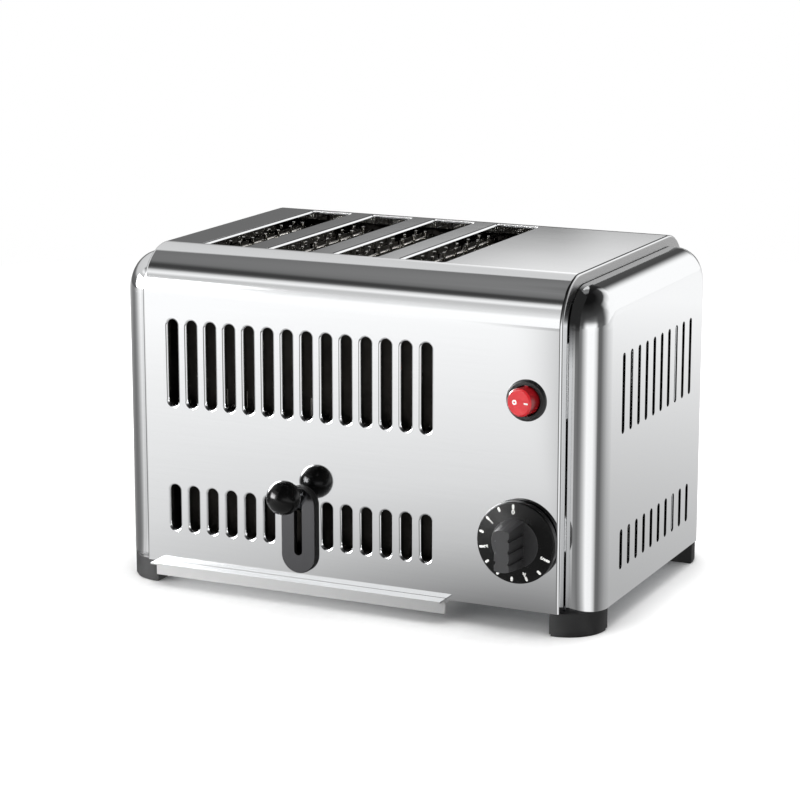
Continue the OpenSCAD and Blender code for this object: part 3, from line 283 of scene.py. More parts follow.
def moulded_plastic(name, colour, rough, grain_mm, edge=EDGE, sides=1.0, **values):
    # Moulded plastic: the tool's spark-eroded skin gives a fine grain and an uneven satin sheen, and the
    # edges are rounded by so many millimetres, so they catch the light. Where sides is below 1, faces that
    # don't look to the front take that share of the colour: painted shade on the sides.
    finish, tree, shader, place = new_finish(name, **values)
    grain = add(tree, "TexNoise", {"Scale": per_mm(grain_mm), "Detail": 2.0}, {"Vector": place})
    flow = add(tree, "TexNoise", {"Scale": per_mm(14), "Detail": 2.0}, {"Vector": place})
    tint = add(tree, "ValToRGB", None, {"Fac": flow},
               [(NOISE_LOW, shade(colour, 0.9)), (NOISE_HIGH, shade(colour, 1.1))])
    # Painted shade: the faces turned away from the front are darker.
    if sides < 1:
        front = mask(tree, (facing(tree)["Y"], -0.5, -0.85))
        tint = add(tree, "Mix", {COLOUR_A: shade(colour, sides)}, {"Factor": front, COLOUR_B: tint},
                   data_type="RGBA")
    sheen = add(tree, "MapRange", {"From Min": NOISE_LOW, "From Max": NOISE_HIGH,
                                   "To Min": rough * 0.85, "To Max": rough * 1.15}, {"Value": flow})
    round_edges = add(tree, "Bevel", {"Radius": edge * MM}, samples=EDGE_RAYS) if edge else None
    skin(tree, shader, tint, sheen, grain, depth=0.03, strength=0.25, normal=round_edges)
    return finish


def white_ink(look):
    # Pad-printed ink: flat white, a little uneven where the pad pressed it.
    name = "ink_pad_printed_white"
    if name in bpy.data.materials:
        return bpy.data.materials[name]
    return moulded_plastic(name, look.ink, rough=0.5, grain_mm=0.3, edge=0, IOR=1.5)


def dial_moulding(look):
    # Moulded polyester in two textures: the grip is spark-eroded, grey and matt, and the rim of the skirt
    # is smooth and black.
    finish, tree, shader, place = new_finish("polyester_dial_moulded", IOR=1.42)
    front = skirt_middle().y
    depth = add(tree, "SeparateXYZ", None, {"Vector": place}).outputs["Y"]
    skirt = mask(tree, (depth, front - 1.2 * MM, front - 0.6 * MM))
    grain = add(tree, "TexNoise", {"Scale": per_mm(0.5), "Detail": 2.0}, {"Vector": place})
    grip = add(tree, "ValToRGB", None, {"Fac": grain},
               [(NOISE_LOW, shade(look.grip, 0.88)), (NOISE_HIGH, shade(look.grip, 1.12))])
    colour = add(tree, "Mix", {COLOUR_B: rgba(look.ball)}, {"Factor": skirt, COLOUR_A: grip},
                 data_type="RGBA")
    rough = add(tree, "Mix", {NUMBER_A: GRIP_ROUGH, NUMBER_B: SKIRT_ROUGH}, {"Factor": skirt})
    round_edges = add(tree, "Bevel", {"Radius": EDGE * MM}, samples=EDGE_RAYS)
    skin(tree, shader, colour, rough, grain, depth=0.03, strength=0.2, normal=round_edges)
    return finish


def foil_faced(look):
    # Polyamide, its face hot-stamped with gunmetal foil: a dark blurred mirror in front. Round the edges the
    # colour is near black and rough: painted shade on the plate's sides.
    finish, tree, shader, place = new_finish("polyamide_foil_stamped", IOR=1.53)
    face = mask(tree, (facing(tree)["Y"], -0.8, -0.97))
    grain = add(tree, "TexNoise", {"Scale": per_mm(0.5), "Detail": 2.0}, {"Vector": place})
    foil = add(tree, "ValToRGB", None, {"Fac": grain},
               [(NOISE_LOW, shade(look.trim, 0.94)), (NOISE_HIGH, shade(look.trim, 1.06))])
    # Painted shade: the faces away from the front are near black.
    colour = add(tree, "Mix", {COLOUR_A: rgba(look.ball)}, {"Factor": face, COLOUR_B: foil},
                 data_type="RGBA")
    rough = add(tree, "Mix", {NUMBER_A: PLATE_ROUGH, NUMBER_B: FOIL_ROUGH}, {"Factor": face})
    skin(tree, shader, colour, rough, grain, depth=0.02, strength=0.2)
    feed(tree, shader, {"Metallic": face})
    return finish


def pressed_mica(colour):
    # Pressed mica: overlapping flakes of a few millimetres that glint at slightly different greys.
    finish, tree, shader, place = new_finish("mica_sheet_pressed", IOR=1.58)
    flakes = add(tree, "TexVoronoi", {"Scale": per_mm(3.5)}, {"Vector": place}).outputs
    tint = add(tree, "ValToRGB", None, {"Fac": flakes["Color"]},
               [(CELL_LOW, shade(colour, 0.85)), (CELL_HIGH, shade(colour, 1.12))])
    glint = add(tree, "MapRange", {"To Min": 0.35, "To Max": 0.65}, {"Value": flakes["Color"]})
    skin(tree, shader, tint, glint, flakes["Distance"], depth=0.05, strength=0.3)
    return finish


# The dial's cone and the printed marks

# Share of the dial's width, from its axis, at which a ray meets the flat of the skirt.
SKIRT_SHARE = 0.46
# Depth that the cone's edge and its back are let into the moulding.
CONE_EDGE = 0.05 * MM
CONE_BACK = 0.4 * MM
# Height of the ink's middle above what it is printed on, and its thickness as a share of that.
INK = 0.06 * MM
INK_BODY = 0.9
RING_OUTER, RING_INNER = 1.6 * MM, 0.7 * MM
BAR_WIDTH, BAR_LENGTH = 1.1 * MM, 3.0 * MM
# A digit's height as a share of the font's size, and how much heavier than the font it is drawn.
DIGIT_SHARE = 0.7
DIGIT_WEIGHT = 0.075
# The middle of a digit lies this many digit heights inside the ticks.
DIGIT_INSET = 0.6


def skirt_middle():
    """Gives the point on the dial's axis that is level with the flat front of its skirt."""
    low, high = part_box("timer_dial")
    middle = Vector(((low[0] + high[0]) / 2, low[1] - CLEAR, (low[2] + high[2]) / 2))
    rim = middle + Vector((0, 0, (high[2] - low[2]) * SKIRT_SHARE))
    hit, spot, _, _ = NODES["timer_dial"].ray_cast(rim, BACKWARD)
    if not hit:
        raise RuntimeError("the dial has no skirt")
    return Vector((middle.x, spot.y, middle.z))


def lathed_ring(name, profile, middle, sides=96):
    """Turns a closed profile of radius and forward distance round an axis along Y."""
    solid = bmesh.new()
    loops = []
    for k in range(sides):
        angle = 2 * math.pi * k / sides
        out = Vector((math.cos(angle), 0, math.sin(angle)))
        places = [middle + out * radius - BACKWARD * forward for radius, forward in profile]
        loops.append([solid.verts.new(place) for place in places])
    for k in range(sides):
        here, there = loops[k], loops[(k + 1) % sides]
        for i in range(len(profile)):
            n = (i + 1) % len(profile)
            solid.faces.new((here[i], here[n], there[n], there[i]))
    bmesh.ops.recalc_face_normals(solid, faces=solid.faces)
    return as_object(name, solid)


def on_surface(name, flat, node, lift):
    """Lays a flat mesh, drawn in X and Z, on an object's front and gives it a little thickness."""
    front = min(corner[1] for corner in node.bound_box) - CLEAR
    for vertex in flat.verts:
        hit, spot, normal, _ = node.ray_cast(Vector((vertex.co.x, front, vertex.co.z)), BACKWARD)
        if not hit:
            raise RuntimeError(name + " lies beside " + node.name)
        vertex.co = spot + normal * lift
    piece = as_object(name, flat)
    body = piece.modifiers.new("ink", "SOLIDIFY")
    body.thickness = lift * INK_BODY
    body.offset = 0
    return piece


def stroke(flat, width, length, turn, centre, sides=8):
    """Draws a bar with round ends into a flat mesh; it points along Z before it is turned."""
    ring = []
    half = (length - width) / 2
    for end, start in ((1, 0.0), (-1, math.pi)):
        for k in range(sides + 1):
            angle = start + math.pi * k / sides
            ring.append(Vector((math.cos(angle) * width / 2, 0, end * half + math.sin(angle) * width / 2)))
    spin = Matrix.Rotation(turn, 3, "Y")
    flat.faces.new([flat.verts.new(spin @ p + centre) for p in ring])


def ring_mark(flat, outer, inner, centre, sides=24):
    """Draws a flat ring into a flat mesh."""
    rims = []
    for radius in (outer, inner):
        rims.append([flat.verts.new(centre + Vector((math.cos(a) * radius, 0, math.sin(a) * radius)))
                     for a in (2 * math.pi * k / sides for k in range(sides))])
    for k in range(sides):
        n = (k + 1) % sides
        flat.faces.new((rims[0][k], rims[0][n], rims[1][n], rims[1][k]))


def numeral(flat, digit, height, turn, centre):
    """Draws a digit into a flat mesh, with its foot toward the dial's middle."""
    text = bpy.data.curves.new("digit", "FONT")
    text.body = digit
    text.size = height / DIGIT_SHARE
    text.align_x = "CENTER"
    text.align_y = "CENTER"
    text.resolution_u = 3
    text.offset = height * DIGIT_WEIGHT
    holder = bpy.data.objects.new("digit", text)
    bpy.context.collection.objects.link(holder)
    bpy.context.view_layer.update()
    mesh = bpy.data.meshes.new_from_object(holder.evaluated_get(bpy.context.evaluated_depsgraph_get()))
    bpy.data.objects.remove(holder)
    bpy.data.curves.remove(text)
    upright = Matrix.Rotation(math.pi / 2, 4, "X")
    mesh.transform(Matrix.Translation(centre) @ Matrix.Rotation(turn, 4, "Y") @ upright)
    flat.from_mesh(mesh)
    bpy.data.meshes.remove(mesh)


# What a user would change

class SteelLook(bpy.types.PropertyGroup):
    steel: bpy.props.FloatVectorProperty(
        name="Steel", description="Colour of the polished stainless sheet", subtype="COLOR",
        min=0, max=1, default=linear("#f0f1f2"))
    mill: bpy.props.FloatVectorProperty(
        name="Mill finish", description="Colour of the sheet where it isn't polished", subtype="COLOR",
        min=0, max=1, default=linear("#a2a2a2"))
    satin: bpy.props.FloatVectorProperty(
        name="Satin", description="Colour of the tray's satin front", subtype="COLOR",
        min=0, max=1, default=linear("#c6c6c6"))
    # Colour of the highlight painted along the slots' ends.
    painted_highlight: bpy.props.FloatVectorProperty(
        name="Painted highlight", description="Colour of the slots' highlight-painted edges", subtype="COLOR",
        min=0, max=1, default=linear("#f4f4f4"))
    polish: bpy.props.FloatProperty(
        name="Polish", description="Roughness of the polished sheet", subtype="FACTOR",
        min=0, max=1, default=0.06)
    plating: bpy.props.FloatVectorProperty(
        name="Plating", description="Colour of the plated inner parts", subtype="COLOR",
        min=0, max=1, default=linear("#b4b7ba"))
    wire: bpy.props.FloatVectorProperty(
        name="Wire", description="Colour of the bread guards' wire", subtype="COLOR",
        min=0, max=1, default=linear("#cfccc6"))


class ChamberLook(bpy.types.PropertyGroup):
    wall: bpy.props.FloatVectorProperty(
        name="Walls", description="Colour of the chamber's heat-browned walls", subtype="COLOR",
        min=0, max=1, default=linear("#2b2927"))
    ribbon: bpy.props.FloatVectorProperty(
        name="Ribbon", description="Colour of the oxidised heating ribbon", subtype="COLOR",
        min=0, max=1, default=linear("#6b6259"))
    mica: bpy.props.FloatVectorProperty(
        name="Mica", description="Colour of the heater boards", subtype="COLOR",
        min=0, max=1, default=linear("#6f6c66"))
    ceramic: bpy.props.FloatVectorProperty(
        name="Porcelain", description="Colour of the bushes and the terminal block", subtype="COLOR",
        min=0, max=1, default=linear("#e6e1d6"))


class MouldingLook(bpy.types.PropertyGroup):
    black: bpy.props.FloatVectorProperty(
        name="Black", description="Colour of the switch's bezel and the gland", subtype="COLOR",
        min=0, max=1, default=linear("#151516"))
    grip: bpy.props.FloatVectorProperty(
        name="Grip", description="Colour of the dial's matt grip", subtype="COLOR",
        min=0, max=1, default=linear("#323233"))
    ball: bpy.props.FloatVectorProperty(
        name="Gloss black", description="Colour of the lever's ball, the dial's skirt and the plate's edges",
        subtype="COLOR", min=0, max=1, default=linear("#070707"))
    trim: bpy.props.FloatVectorProperty(
        name="Lever plate", description="Colour of the plate round the lever", subtype="COLOR",
        min=0, max=1, default=linear("#68686a"))
    rubber: bpy.props.FloatVectorProperty(
        name="Feet", description="Colour of the rubber feet", subtype="COLOR",
        min=0, max=1, default=linear("#1b1b1c"))
    red: bpy.props.FloatVectorProperty(
        name="Rocker", description="Colour of the switch's rocker", subtype="COLOR",
        min=0, max=1, default=linear("#cd2029"))
    ink: bpy.props.FloatVectorProperty(
        name="Ink", description="Colour of the printed marks", subtype="COLOR",
        min=0, max=1, default=linear("#f6f6f2"))


class MarkSizes(bpy.types.PropertyGroup):
    steps: bpy.props.IntProperty(
        name="Ticks", description="Ticks on the dial; every second one has a number", min=3, default=11)
    first: bpy.props.FloatProperty(
        name="First tick", description="Angle of the first tick from the top, counter-clockwise",
        subtype="ANGLE", default=math.radians(4))
    step: bpy.props.FloatProperty(
        name="Step", description="Angle between ticks", subtype="ANGLE", default=math.radians(24.4))
    rim: bpy.props.FloatProperty(
        name="Rim radius", description="Radius at which the ticks start", unit="LENGTH", default=24.9 * MM)
    tick: bpy.props.FloatProperty(
        name="Tick length", description="Length of a tick", unit="LENGTH", default=3.2 * MM)
    width: bpy.props.FloatProperty(
        name="Tick width", description="Width of a tick", unit="LENGTH", default=1.6 * MM)
    digit: bpy.props.FloatProperty(
        name="Number height", description="Height of the dial's numbers", unit="LENGTH", default=2.9 * MM)
    skirt_rim: bpy.props.FloatProperty(
        name="Skirt rim", description="Radius at which the dial's cone starts", unit="LENGTH",
        default=25.2 * MM)
    skirt_boss: bpy.props.FloatProperty(
        name="Skirt boss", description="Radius at which the dial's cone ends", unit="LENGTH",
        default=15.6 * MM)
    skirt_slope: bpy.props.FloatProperty(
        name="Skirt slope", description="Slope of the dial's cone", subtype="ANGLE",
        default=math.radians(8))
    spread: bpy.props.FloatProperty(
        name="Rocker marks", description="Distance of the rocker's marks from its middle",
        unit="LENGTH", default=4.1 * MM)


class StudioSetup(bpy.types.PropertyGroup):
    fill: bpy.props.FloatProperty(
        name="Fill", description="Strength of the light from all round", min=0, default=0.5)
    key: bpy.props.FloatProperty(
        name="Key lamp", description="Power of the soft lamp overhead", unit="POWER", min=0, default=20)
    front: bpy.props.FloatProperty(
        name="Front lamp", description="Power of the soft lamp in front", unit="POWER", min=0, default=14)
    window: bpy.props.FloatProperty(
        name="Window", description="How much brighter than white the strip window at the front left is",
        min=0, default=22)
    lift: bpy.props.FloatProperty(
        name="Floor lift", description="White that the floor adds for the camera", min=0, max=1,
        default=1.0)


# Operators

class TOASTER_OT_polished_shell(bpy.types.Operator):
    """Polishes the wrap, the end caps and the crumb tray"""
    bl_idname = "toaster.polished_shell"
    bl_label = "Polished shell"

    def execute(self, context):
        look = context.scene.toaster_steel
        # The slots' ends get a painted highlight.
        wrap = polished_stainless("stainless_wrap_mirror_polished", look, look.polish, dull=wrap_ends,
                                  dulled=look.mill, painted_highlight=slot_ends)
        dress(wrap, "outer_wrap")
        caps = polished_stainless("stainless_caps_mirror_polished", look, look.polish)
        dress(caps, "left_end_cap", "right_end_cap")
        # The tray is polished less, and its streaks are more even.
        tray = polished_stainless("stainless_tray_satin_polished", look, look.polish * 2, spread=0.05,
                                  dull=pull_front, dulled=look.satin)
        dress(tray, "crumb_tray")
        return {"FINISHED"}


class TOASTER_OT_plated_fittings(bpy.types.Operator):
    """Plates the base, the lever's metal, the lift, the runners and the screws"""
    bl_idname = "toaster.plated_fittings"
    bl_label = "Plated fittings"

    def execute(self, context):
        look = context.scene.toaster_steel
        sheet = plated_steel("steel_sheet_zinc_plated", look.plating, rough=0.3, spangle=5)
        dress(sheet, "base_plate", "tray_runners", "lever_bracket", "front_crossbar", "rear_crossbar",
              "timer_body", *like("bread_rail"))
        turned = plated_steel("steel_rod_zinc_plated", look.plating, rough=0.2, spangle=1.5)
        dress(turned, "lever_arm", "lever_pivot_pin", "lift_pin", "guide_rods", "timer_shaft",
              "foot_screws", "cap_screws", "timer_screws")
        return {"FINISHED"}


class TOASTER_OT_toasting_chamber(bpy.types.Operator):
    """Finishes the chamber's walls, the heaters, the bread guards and the porcelain"""
    bl_idname = "toaster.toasting_chamber"
    bl_label = "Toasting chamber"

    def execute(self, context):
        look = context.scene.toaster_chamber
        walls = heated_metal("aluminised_sheet_heat_browned", look.wall, rough=0.5)
        dress(walls, "front_inner_wall", "rear_inner_wall", "left_reflector", "control_partition")
        ribbon = heated_metal("nichrome_ribbon_oxidised", look.ribbon, rough=0.42)
        dress(ribbon, *like("heater_ribbon"))
        dress(pressed_mica(look.mica), *like("heater_board"))
        wire = plated_steel("steel_wire_nickel_plated", context.scene.toaster_steel.wire,
                            rough=0.22, spangle=1.2)
        dress(wire, *like("bread_guard"))
        # Fired porcelain: a pale glaze with the same soft, uneven sheen as a moulding.
        glaze = moulded_plastic("porcelain_fired", look.ceramic, rough=0.3, grain_mm=0.5, IOR=1.5)
        dress(glaze, "guide_bushes", "terminal_block")
        return {"FINISHED"}


class TOASTER_OT_black_mouldings(bpy.types.Operator):
    """Finishes the dial, the switch's bezel, the lever plate, the gland, the feet and the lever's ball"""
    bl_idname = "toaster.black_mouldings"
    bl_label = "Black mouldings"

    def execute(self, context):
        look = context.scene.toaster_moulding
        # Moulded polyester: black, with a satin sheen.
        satin = moulded_plastic("polyester_moulded_satin", look.black, rough=0.3, grain_mm=0.5, IOR=1.55)
        dress(satin, "switch_body", "cable_gland")
        dress(dial_moulding(look), "timer_dial")
        dress(foil_faced(look), "lever_plate")
        # Moulded rubber: duller than the plastics, with a coarser skin.
        rubber = moulded_plastic("rubber_moulded", look.rubber, rough=0.62, grain_mm=0.9, IOR=1.52)
        dress(rubber, *like("foot_front"), *like("foot_rear"))
        # Phenolic, polished after moulding: a deep black gloss with sharp highlights.
        gloss = moulded_plastic("phenolic_polished", look.ball, rough=0.16, grain_mm=2.5, IOR=1.35)
        dress(gloss, "lever_ball")
        return {"FINISHED"}


class TOASTER_OT_rocker(bpy.types.Operator):
    """Finishes the switch's rocker and prints its on and off marks"""
    bl_idname = "toaster.rocker"
    bl_label = "Rocker"

    def execute(self, context):
        look = context.scene.toaster_moulding
        # Red polycarbonate: a bright, glossy face, and sides darkened to deep red by painted shade.
        red = moulded_plastic("polycarbonate_moulded_red", look.red, rough=0.2, grain_mm=1.2, sides=0.45,
                              IOR=1.58)
        dress(red, "switch_rocker")
        low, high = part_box("switch_rocker")
        middle = Vector(((low[0] + high[0]) / 2, 0, (low[2] + high[2]) / 2))
        side = Vector((context.scene.toaster_marks.spread, 0, 0))
        flat = bmesh.new()
        ring_mark(flat, RING_OUTER, RING_INNER, middle - side)
        stroke(flat, BAR_WIDTH, BAR_LENGTH, math.pi / 2, middle + side)
        marks = on_surface("rocker_marks", flat, NODES["switch_rocker"], INK)
        marks.data.materials.append(white_ink(look))
        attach(marks, "rocker")
        return {"FINISHED"}


class TOASTER_OT_dial_skirt(bpy.types.Operator):
    """Lays a shallow cone over the flat front of the dial's skirt"""
    bl_idname = "toaster.dial_skirt"
    bl_label = "Dial skirt"

    def execute(self, context):
        size = context.scene.toaster_marks
        rise = (size.skirt_rim - size.skirt_boss) * math.tan(size.skirt_slope)
        profile = [(size.skirt_boss, rise), (size.skirt_rim, -CONE_EDGE), (size.skirt_boss, -CONE_BACK)]
        skirt = lathed_ring("dial_skirt", profile, skirt_middle())
        look = context.scene.toaster_moulding
        # The same polyester as the dial without the grip's texture: smooth and black, so the cone is light
        # where it tilts to the window and dark elsewhere.
        smooth = moulded_plastic("polyester_skirt_smooth", look.ball, rough=SKIRT_ROUGH, grain_mm=0.5,
                                 edge=0, IOR=1.42)
        skirt.data.materials.append(smooth)
        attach(skirt, "timer_knob")
        # The marks are laid on the cone by rays, which only meet it once the scene knows it.
        context.view_layer.update()
        return {"FINISHED"}


class TOASTER_OT_dial_marks(bpy.types.Operator):
    """Prints the minute ticks and numbers on the dial's skirt"""
    bl_idname = "toaster.dial_marks"
    bl_label = "Dial marks"

    def execute(self, context):
        size = context.scene.toaster_marks
        axis = skirt_middle()
        flat = bmesh.new()
        for k in range(size.steps):
            angle = size.first + k * size.step
            out = Vector((-math.sin(angle), 0, math.cos(angle)))
            stroke(flat, size.width, size.tick, -angle, axis + out * (size.rim - size.tick / 2))
            if k % 2 == 0:
                inset = size.rim - size.tick - size.digit * DIGIT_INSET
                numeral(flat, str(k // 2), size.digit, -angle, axis + out * inset)
        marks = on_surface("dial_marks", flat, bpy.data.objects["dial_skirt"], INK)
        marks.data.materials.append(white_ink(context.scene.toaster_moulding))
        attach(marks, "timer_knob")
        return {"FINISHED"}


class TOASTER_OT_stage(bpy.types.Operator):
    """Sets the floor, the light tent, the flag, the backdrop, the lamps and the camera"""
    bl_idname = "toaster.stage"
    bl_label = "Studio stage"

    def execute(self, context):
        setup = context.scene.toaster_studio
        floor(setup)
        light_tent(setup)
        black_flag()
        world(context.scene, setup)
        softbox("overhead_softbox", OVERHEAD_SIZE, setup.key, OVERHEAD_PLACE)
        softbox("front_softbox", FRONT_LAMP_SIZE, setup.front, FRONT_LAMP_PLACE)
        camera(context.scene)
        context.scene.view_settings.view_transform = "Standard"
        return {"FINISHED"}


# The stage. Its lengths are in metres.

OVERHEAD_SIZE, OVERHEAD_PLACE = (1.8, 1.4), (-0.1, -0.35, 1.7)
FRONT_LAMP_SIZE, FRONT_LAMP_PLACE = (1.6, 1.2), (-0.7, -2.0, 0.9)
LAMPS_AIM = Vector((0, 0, 0.1))


def softbox(name, size, power, place):
    """Stands a soft lamp at a place and turns it to the toaster; the tent takes its place in reflections."""
    lamp = bpy.data.lights.new(name, "AREA")
    lamp.shape = "RECTANGLE"
    lamp.size, lamp.size_y = size
    lamp.energy = power
    stand = bpy.data.objects.new(name, lamp)
    stand.location = place
    stand.rotation_euler = (LAMPS_AIM - stand.location).to_track_quat("-Z", "Y").to_euler()
    stand.visible_glossy = False
    bpy.context.collection.objects.link(stand)


def only_in_reflections(card):
    """Hides a piece of the stage from all but the rays that glossy surfaces send out."""
    card.visible_camera = False
    card.visible_diffuse = False
    card.visible_shadow = False


FLOOR_SIZE = 8.0
# In front of the toaster the floor is lifted toward white by this share of what it is beside its right end.
FRONT_SHARE = 0.12
# It gets there between two distances to the right and a little behind, or two from the middle.
BESIDE_RIGHT = (1.0, 0.45, 0.0)
BESIDE_FROM, BESIDE_TO = 0.06, 0.2
BEYOND_FROM, BEYOND_TO = 0.28, 0.45
# Around the toaster's foot the lift fades over this distance, so the contact shadow stays dark.
CONTACT = 0.06
# Between these distances from the middle the paper runs out into the white backdrop.
PAPER_FADES, PAPER_ENDS = 0.7, 1.3


def floor(setup):
    """Lays a pale paper floor that turns pure white for the camera where no shadow falls."""
    flat = bmesh.new()
    bmesh.ops.create_grid(flat, x_segments=8, y_segments=8, size=FLOOR_SIZE / 2)
    sheet = as_object("floor", flat)
    finish, tree, shader, place = new_finish("paper_matt_white", Roughness=0.9)
    fibres = add(tree, "TexNoise", {"Scale": per_mm(6), "Detail": 3.0}, {"Vector": place})
    tint = add(tree, "ValToRGB", None, {"Fac": fibres},
               [(NOISE_LOW, rgba(linear("#f3f3f3"))), (NOISE_HIGH, rgba(linear("#f7f7f7")))])
    feed(tree, shader, {"Base Color": tint})
    path = add(tree, "LightPath").outputs
    # Beside the right end the floor turns white sooner than in front, as if a second lamp stood there, and
    # behind and farther off it is all white.
    across = add(tree, "VectorMath", {1: BESIDE_RIGHT}, {0: place}, operation="DOT_PRODUCT")
    reach = add(tree, "VectorMath", None, {0: place}, operation="LENGTH")
    bright = add(tree, "Math", None, {0: mask(tree, (across, BESIDE_FROM, BESIDE_TO)),
                                      1: mask(tree, (reach, BEYOND_FROM, BEYOND_TO))}, operation="MAXIMUM")
    lift = add(tree, "MapRange", {"To Min": setup.lift * FRONT_SHARE, "To Max": setup.lift},
               {"Value": bright})
    sky = add(tree, "AmbientOcclusion", {"Distance": CONTACT}, samples=8).outputs["AO"]
    for factor in (path["Is Camera Ray"], sky, sky):
        lift = add(tree, "Math", None, {0: lift, 1: factor}, operation="MULTIPLY")
    glow = add(tree, "Emission", {"Color": WHITE}, {"Strength": lift})
    paper = add(tree, "AddShader", None, {0: shader, 1: glow})
    far = add(tree, "MapRange", {"From Min": PAPER_FADES, "From Max": PAPER_ENDS}, {"Value": reach})
    fade = add(tree, "Math", None, {0: far, 1: path["Is Camera Ray"]}, operation="MULTIPLY")
    white = add(tree, "Emission", {"Color": WHITE, "Strength": 1.0})
    seen = add(tree, "MixShader", None, {0: fade, 1: paper, 2: white})
    # Glossy rays see painted greys instead of the lit paper: a painted reflection with the toaster's shadow
    # painted in.
    painted_reflection = add(tree, "Emission", {"Strength": 1 / STEEL_REFLECTS}, {"Color": painted_floor_reflection(tree, place)})
    both = add(tree, "MixShader", None, {0: path["Is Glossy Ray"], 1: seen, 2: painted_reflection})
    feed(tree, tree.nodes["Material Output"], {"Surface": both})
    sheet.data.materials.append(finish)


# The greys below are what the polished steel shows, so the stage is brighter by what the steel swallows.
STEEL_REFLECTS = 0.87
# Only the steel sees these greys on the floor: a painted reflection. In front of the panel they get darker
# toward a point under its right end, the toaster's painted shadow: distance from that point, and sRGB grey.
SHADOW_MIDDLE = (0.10, -0.10, 0)
FRONT_SHADOW = [(0, 105), (0.05, 125), (0.1, 155), (0.2, 192), (0.36, 218), (0.55, 230), (1.1, 253)]
# Beside the end caps they are cut like a fan about the caps' front corners: degrees clockwise from straight
# behind, sRGB grey close to the corner and sRGB grey far from it.
FAN_NEAR, FAN_FAR = 0.1, 1.15
RIGHT_FAN = [(20, 175, 245), (55, 155, 215), (78, 125, 160), (92, 100, 100), (104, 105, 95), (114, 200, 215),
             (126, 240, 255), (150, 245, 255), (163, 190, 205), (176, 140, 115), (187, 110, 95),
             (199, 130, 125)]
LEFT_FAN = [(216, 190, 230), (226, 200, 255), (236, 145, 235), (250, 110, 170), (265, 105, 120),
            (282, 110, 130), (306, 140, 180), (330, 165, 200)]
# Each fan's corner, its side, its greys, and the degrees between which it opens and closes.
REFLECTED_FANS = [((0.165, -0.085), 1, RIGHT_FAN, (-25, 0), (199, 205)),
             ((-0.165, -0.085), -1, LEFT_FAN, (211, 216), (360, 385))]


def painted_floor_reflection(tree, place):
    """Paints the floor that the steel reflects, darker toward the toaster: painted reflection and painted
    shadow.
    """
    middle = add(tree, "VectorMath", {1: SHADOW_MIDDLE}, {0: place}, operation="DISTANCE")
    reach = FRONT_SHADOW[-1][0]
    span = add(tree, "MapRange", {"From Max": reach}, {"Value": middle})
    colour = add(tree, "ValToRGB", None, {"Fac": span},
                 [(metres / reach, grey(level)) for metres, level in FRONT_SHADOW])
    for corner, side, steps, opens, closes in REFLECTED_FANS:
        turned = add(tree, "Mapping", {"Location": (-side * corner[0], side * corner[1], 0),
                                       "Scale": (side, -side, 1)}, {"Vector": place})
        axes = add(tree, "SeparateXYZ", None, {"Vector": turned}).outputs
        angle = add(tree, "Math", None, {0: axes["Y"], 1: axes["X"]}, operation="ARCTAN2")
        bearing = add(tree, "MapRange", {"From Min": -math.pi, "From Max": math.pi}, {"Value": angle})
        away = add(tree, "VectorMath", None, {0: turned}, operation="LENGTH")
        gone = add(tree, "MapRange", {"From Min": FAN_NEAR, "From Max": FAN_FAR}, {"Value": away})
        near, far = (add(tree, "ValToRGB", None, {"Fac": bearing},
                         [((step[0] + side * 90) / 360, grey(step[k])) for step in steps]) for k in (1, 2))
        cloth = add(tree, "Mix", None, {"Factor": gone, COLOUR_A: near, COLOUR_B: far}, data_type="RGBA")
        edges = [(degrees + side * 90) / 360 for degrees in (*opens, *reversed(closes))]
        inside = mask(tree, (bearing, *edges[:2]), (bearing, *edges[2:]))
        colour = add(tree, "Mix", None, {"Factor": inside, COLOUR_A: colour, COLOUR_B: cloth},
                     data_type="RGBA")
    return colour


# What the tent shows at each height, in degrees, as sRGB greys.
TENT_FRONT = [(0, 100), (6, 75), (25, 58), (50, 38), (68, 17)]
TENT_FRONT_LEFT = [(0, 255), (13, 255), (17, 230), (28, 198), (33, 192), (38, 245), (42, 215), (46, 100),
                   (49, 60), (53, 62), (57.5, 108), (66, 125), (74, 20)]
TENT_BACK_LEFT = [(0, 88), (9.3, 104), (11.5, 108), (14, 150), (20, 200), (52, 208), (54.5, 110), (68, 122),
                  (76, 25)]
TENT_BACK = [(0, 60), (8.8, 108), (9.3, 156), (9.9, 226), (11, 252), (19, 255), (25, 210), (52, 212),
             (54.5, 115), (68, 122), (76, 25)]
TENT_BACK_END = [(0, 60), (8.7, 150), (9.3, 200), (10, 236), (10.8, 226), (12.5, 112), (16, 74), (22, 70),
                 (30, 42), (46, 33), (70, 20)]
TENT_BACK_RIGHT = [(0, 250), (26, 250), (40, 190), (46, 60), (70, 20)]
TENT_RIGHT = [(0, 95), (10, 80), (22, 72), (36, 54), (68, 20)]
TENT_FRONT_RIGHT = [(0, 255), (4, 235), (9, 180), (15, 120), (22, 85), (28, 62), (50, 38), (68, 18)]
# The tent starts with its front. Going clockwise, each panel then takes over between two bearings, in
# degrees from straight behind.
TENT_PANELS = [(TENT_FRONT, None, None), (TENT_FRONT_LEFT, -162, -160), (TENT_BACK_LEFT, -118, -108),
               (TENT_BACK, -29, -21.5), (TENT_BACK_END, -21.5, -20), (TENT_BACK_RIGHT, -6, 10),
               (TENT_RIGHT, 48, 86), (TENT_FRONT_RIGHT, 106, 122), (TENT_FRONT, 152, 173)]
# The strip window in front to the left: where it starts to open, is open, starts to close and is closed.
WINDOW_BEARINGS = (-150, -144, -112, -102)
WINDOW_HEIGHTS = (0, 3, 20, 28)
TENT_RADIUS = 20
TENT_MIDDLE = 0.2


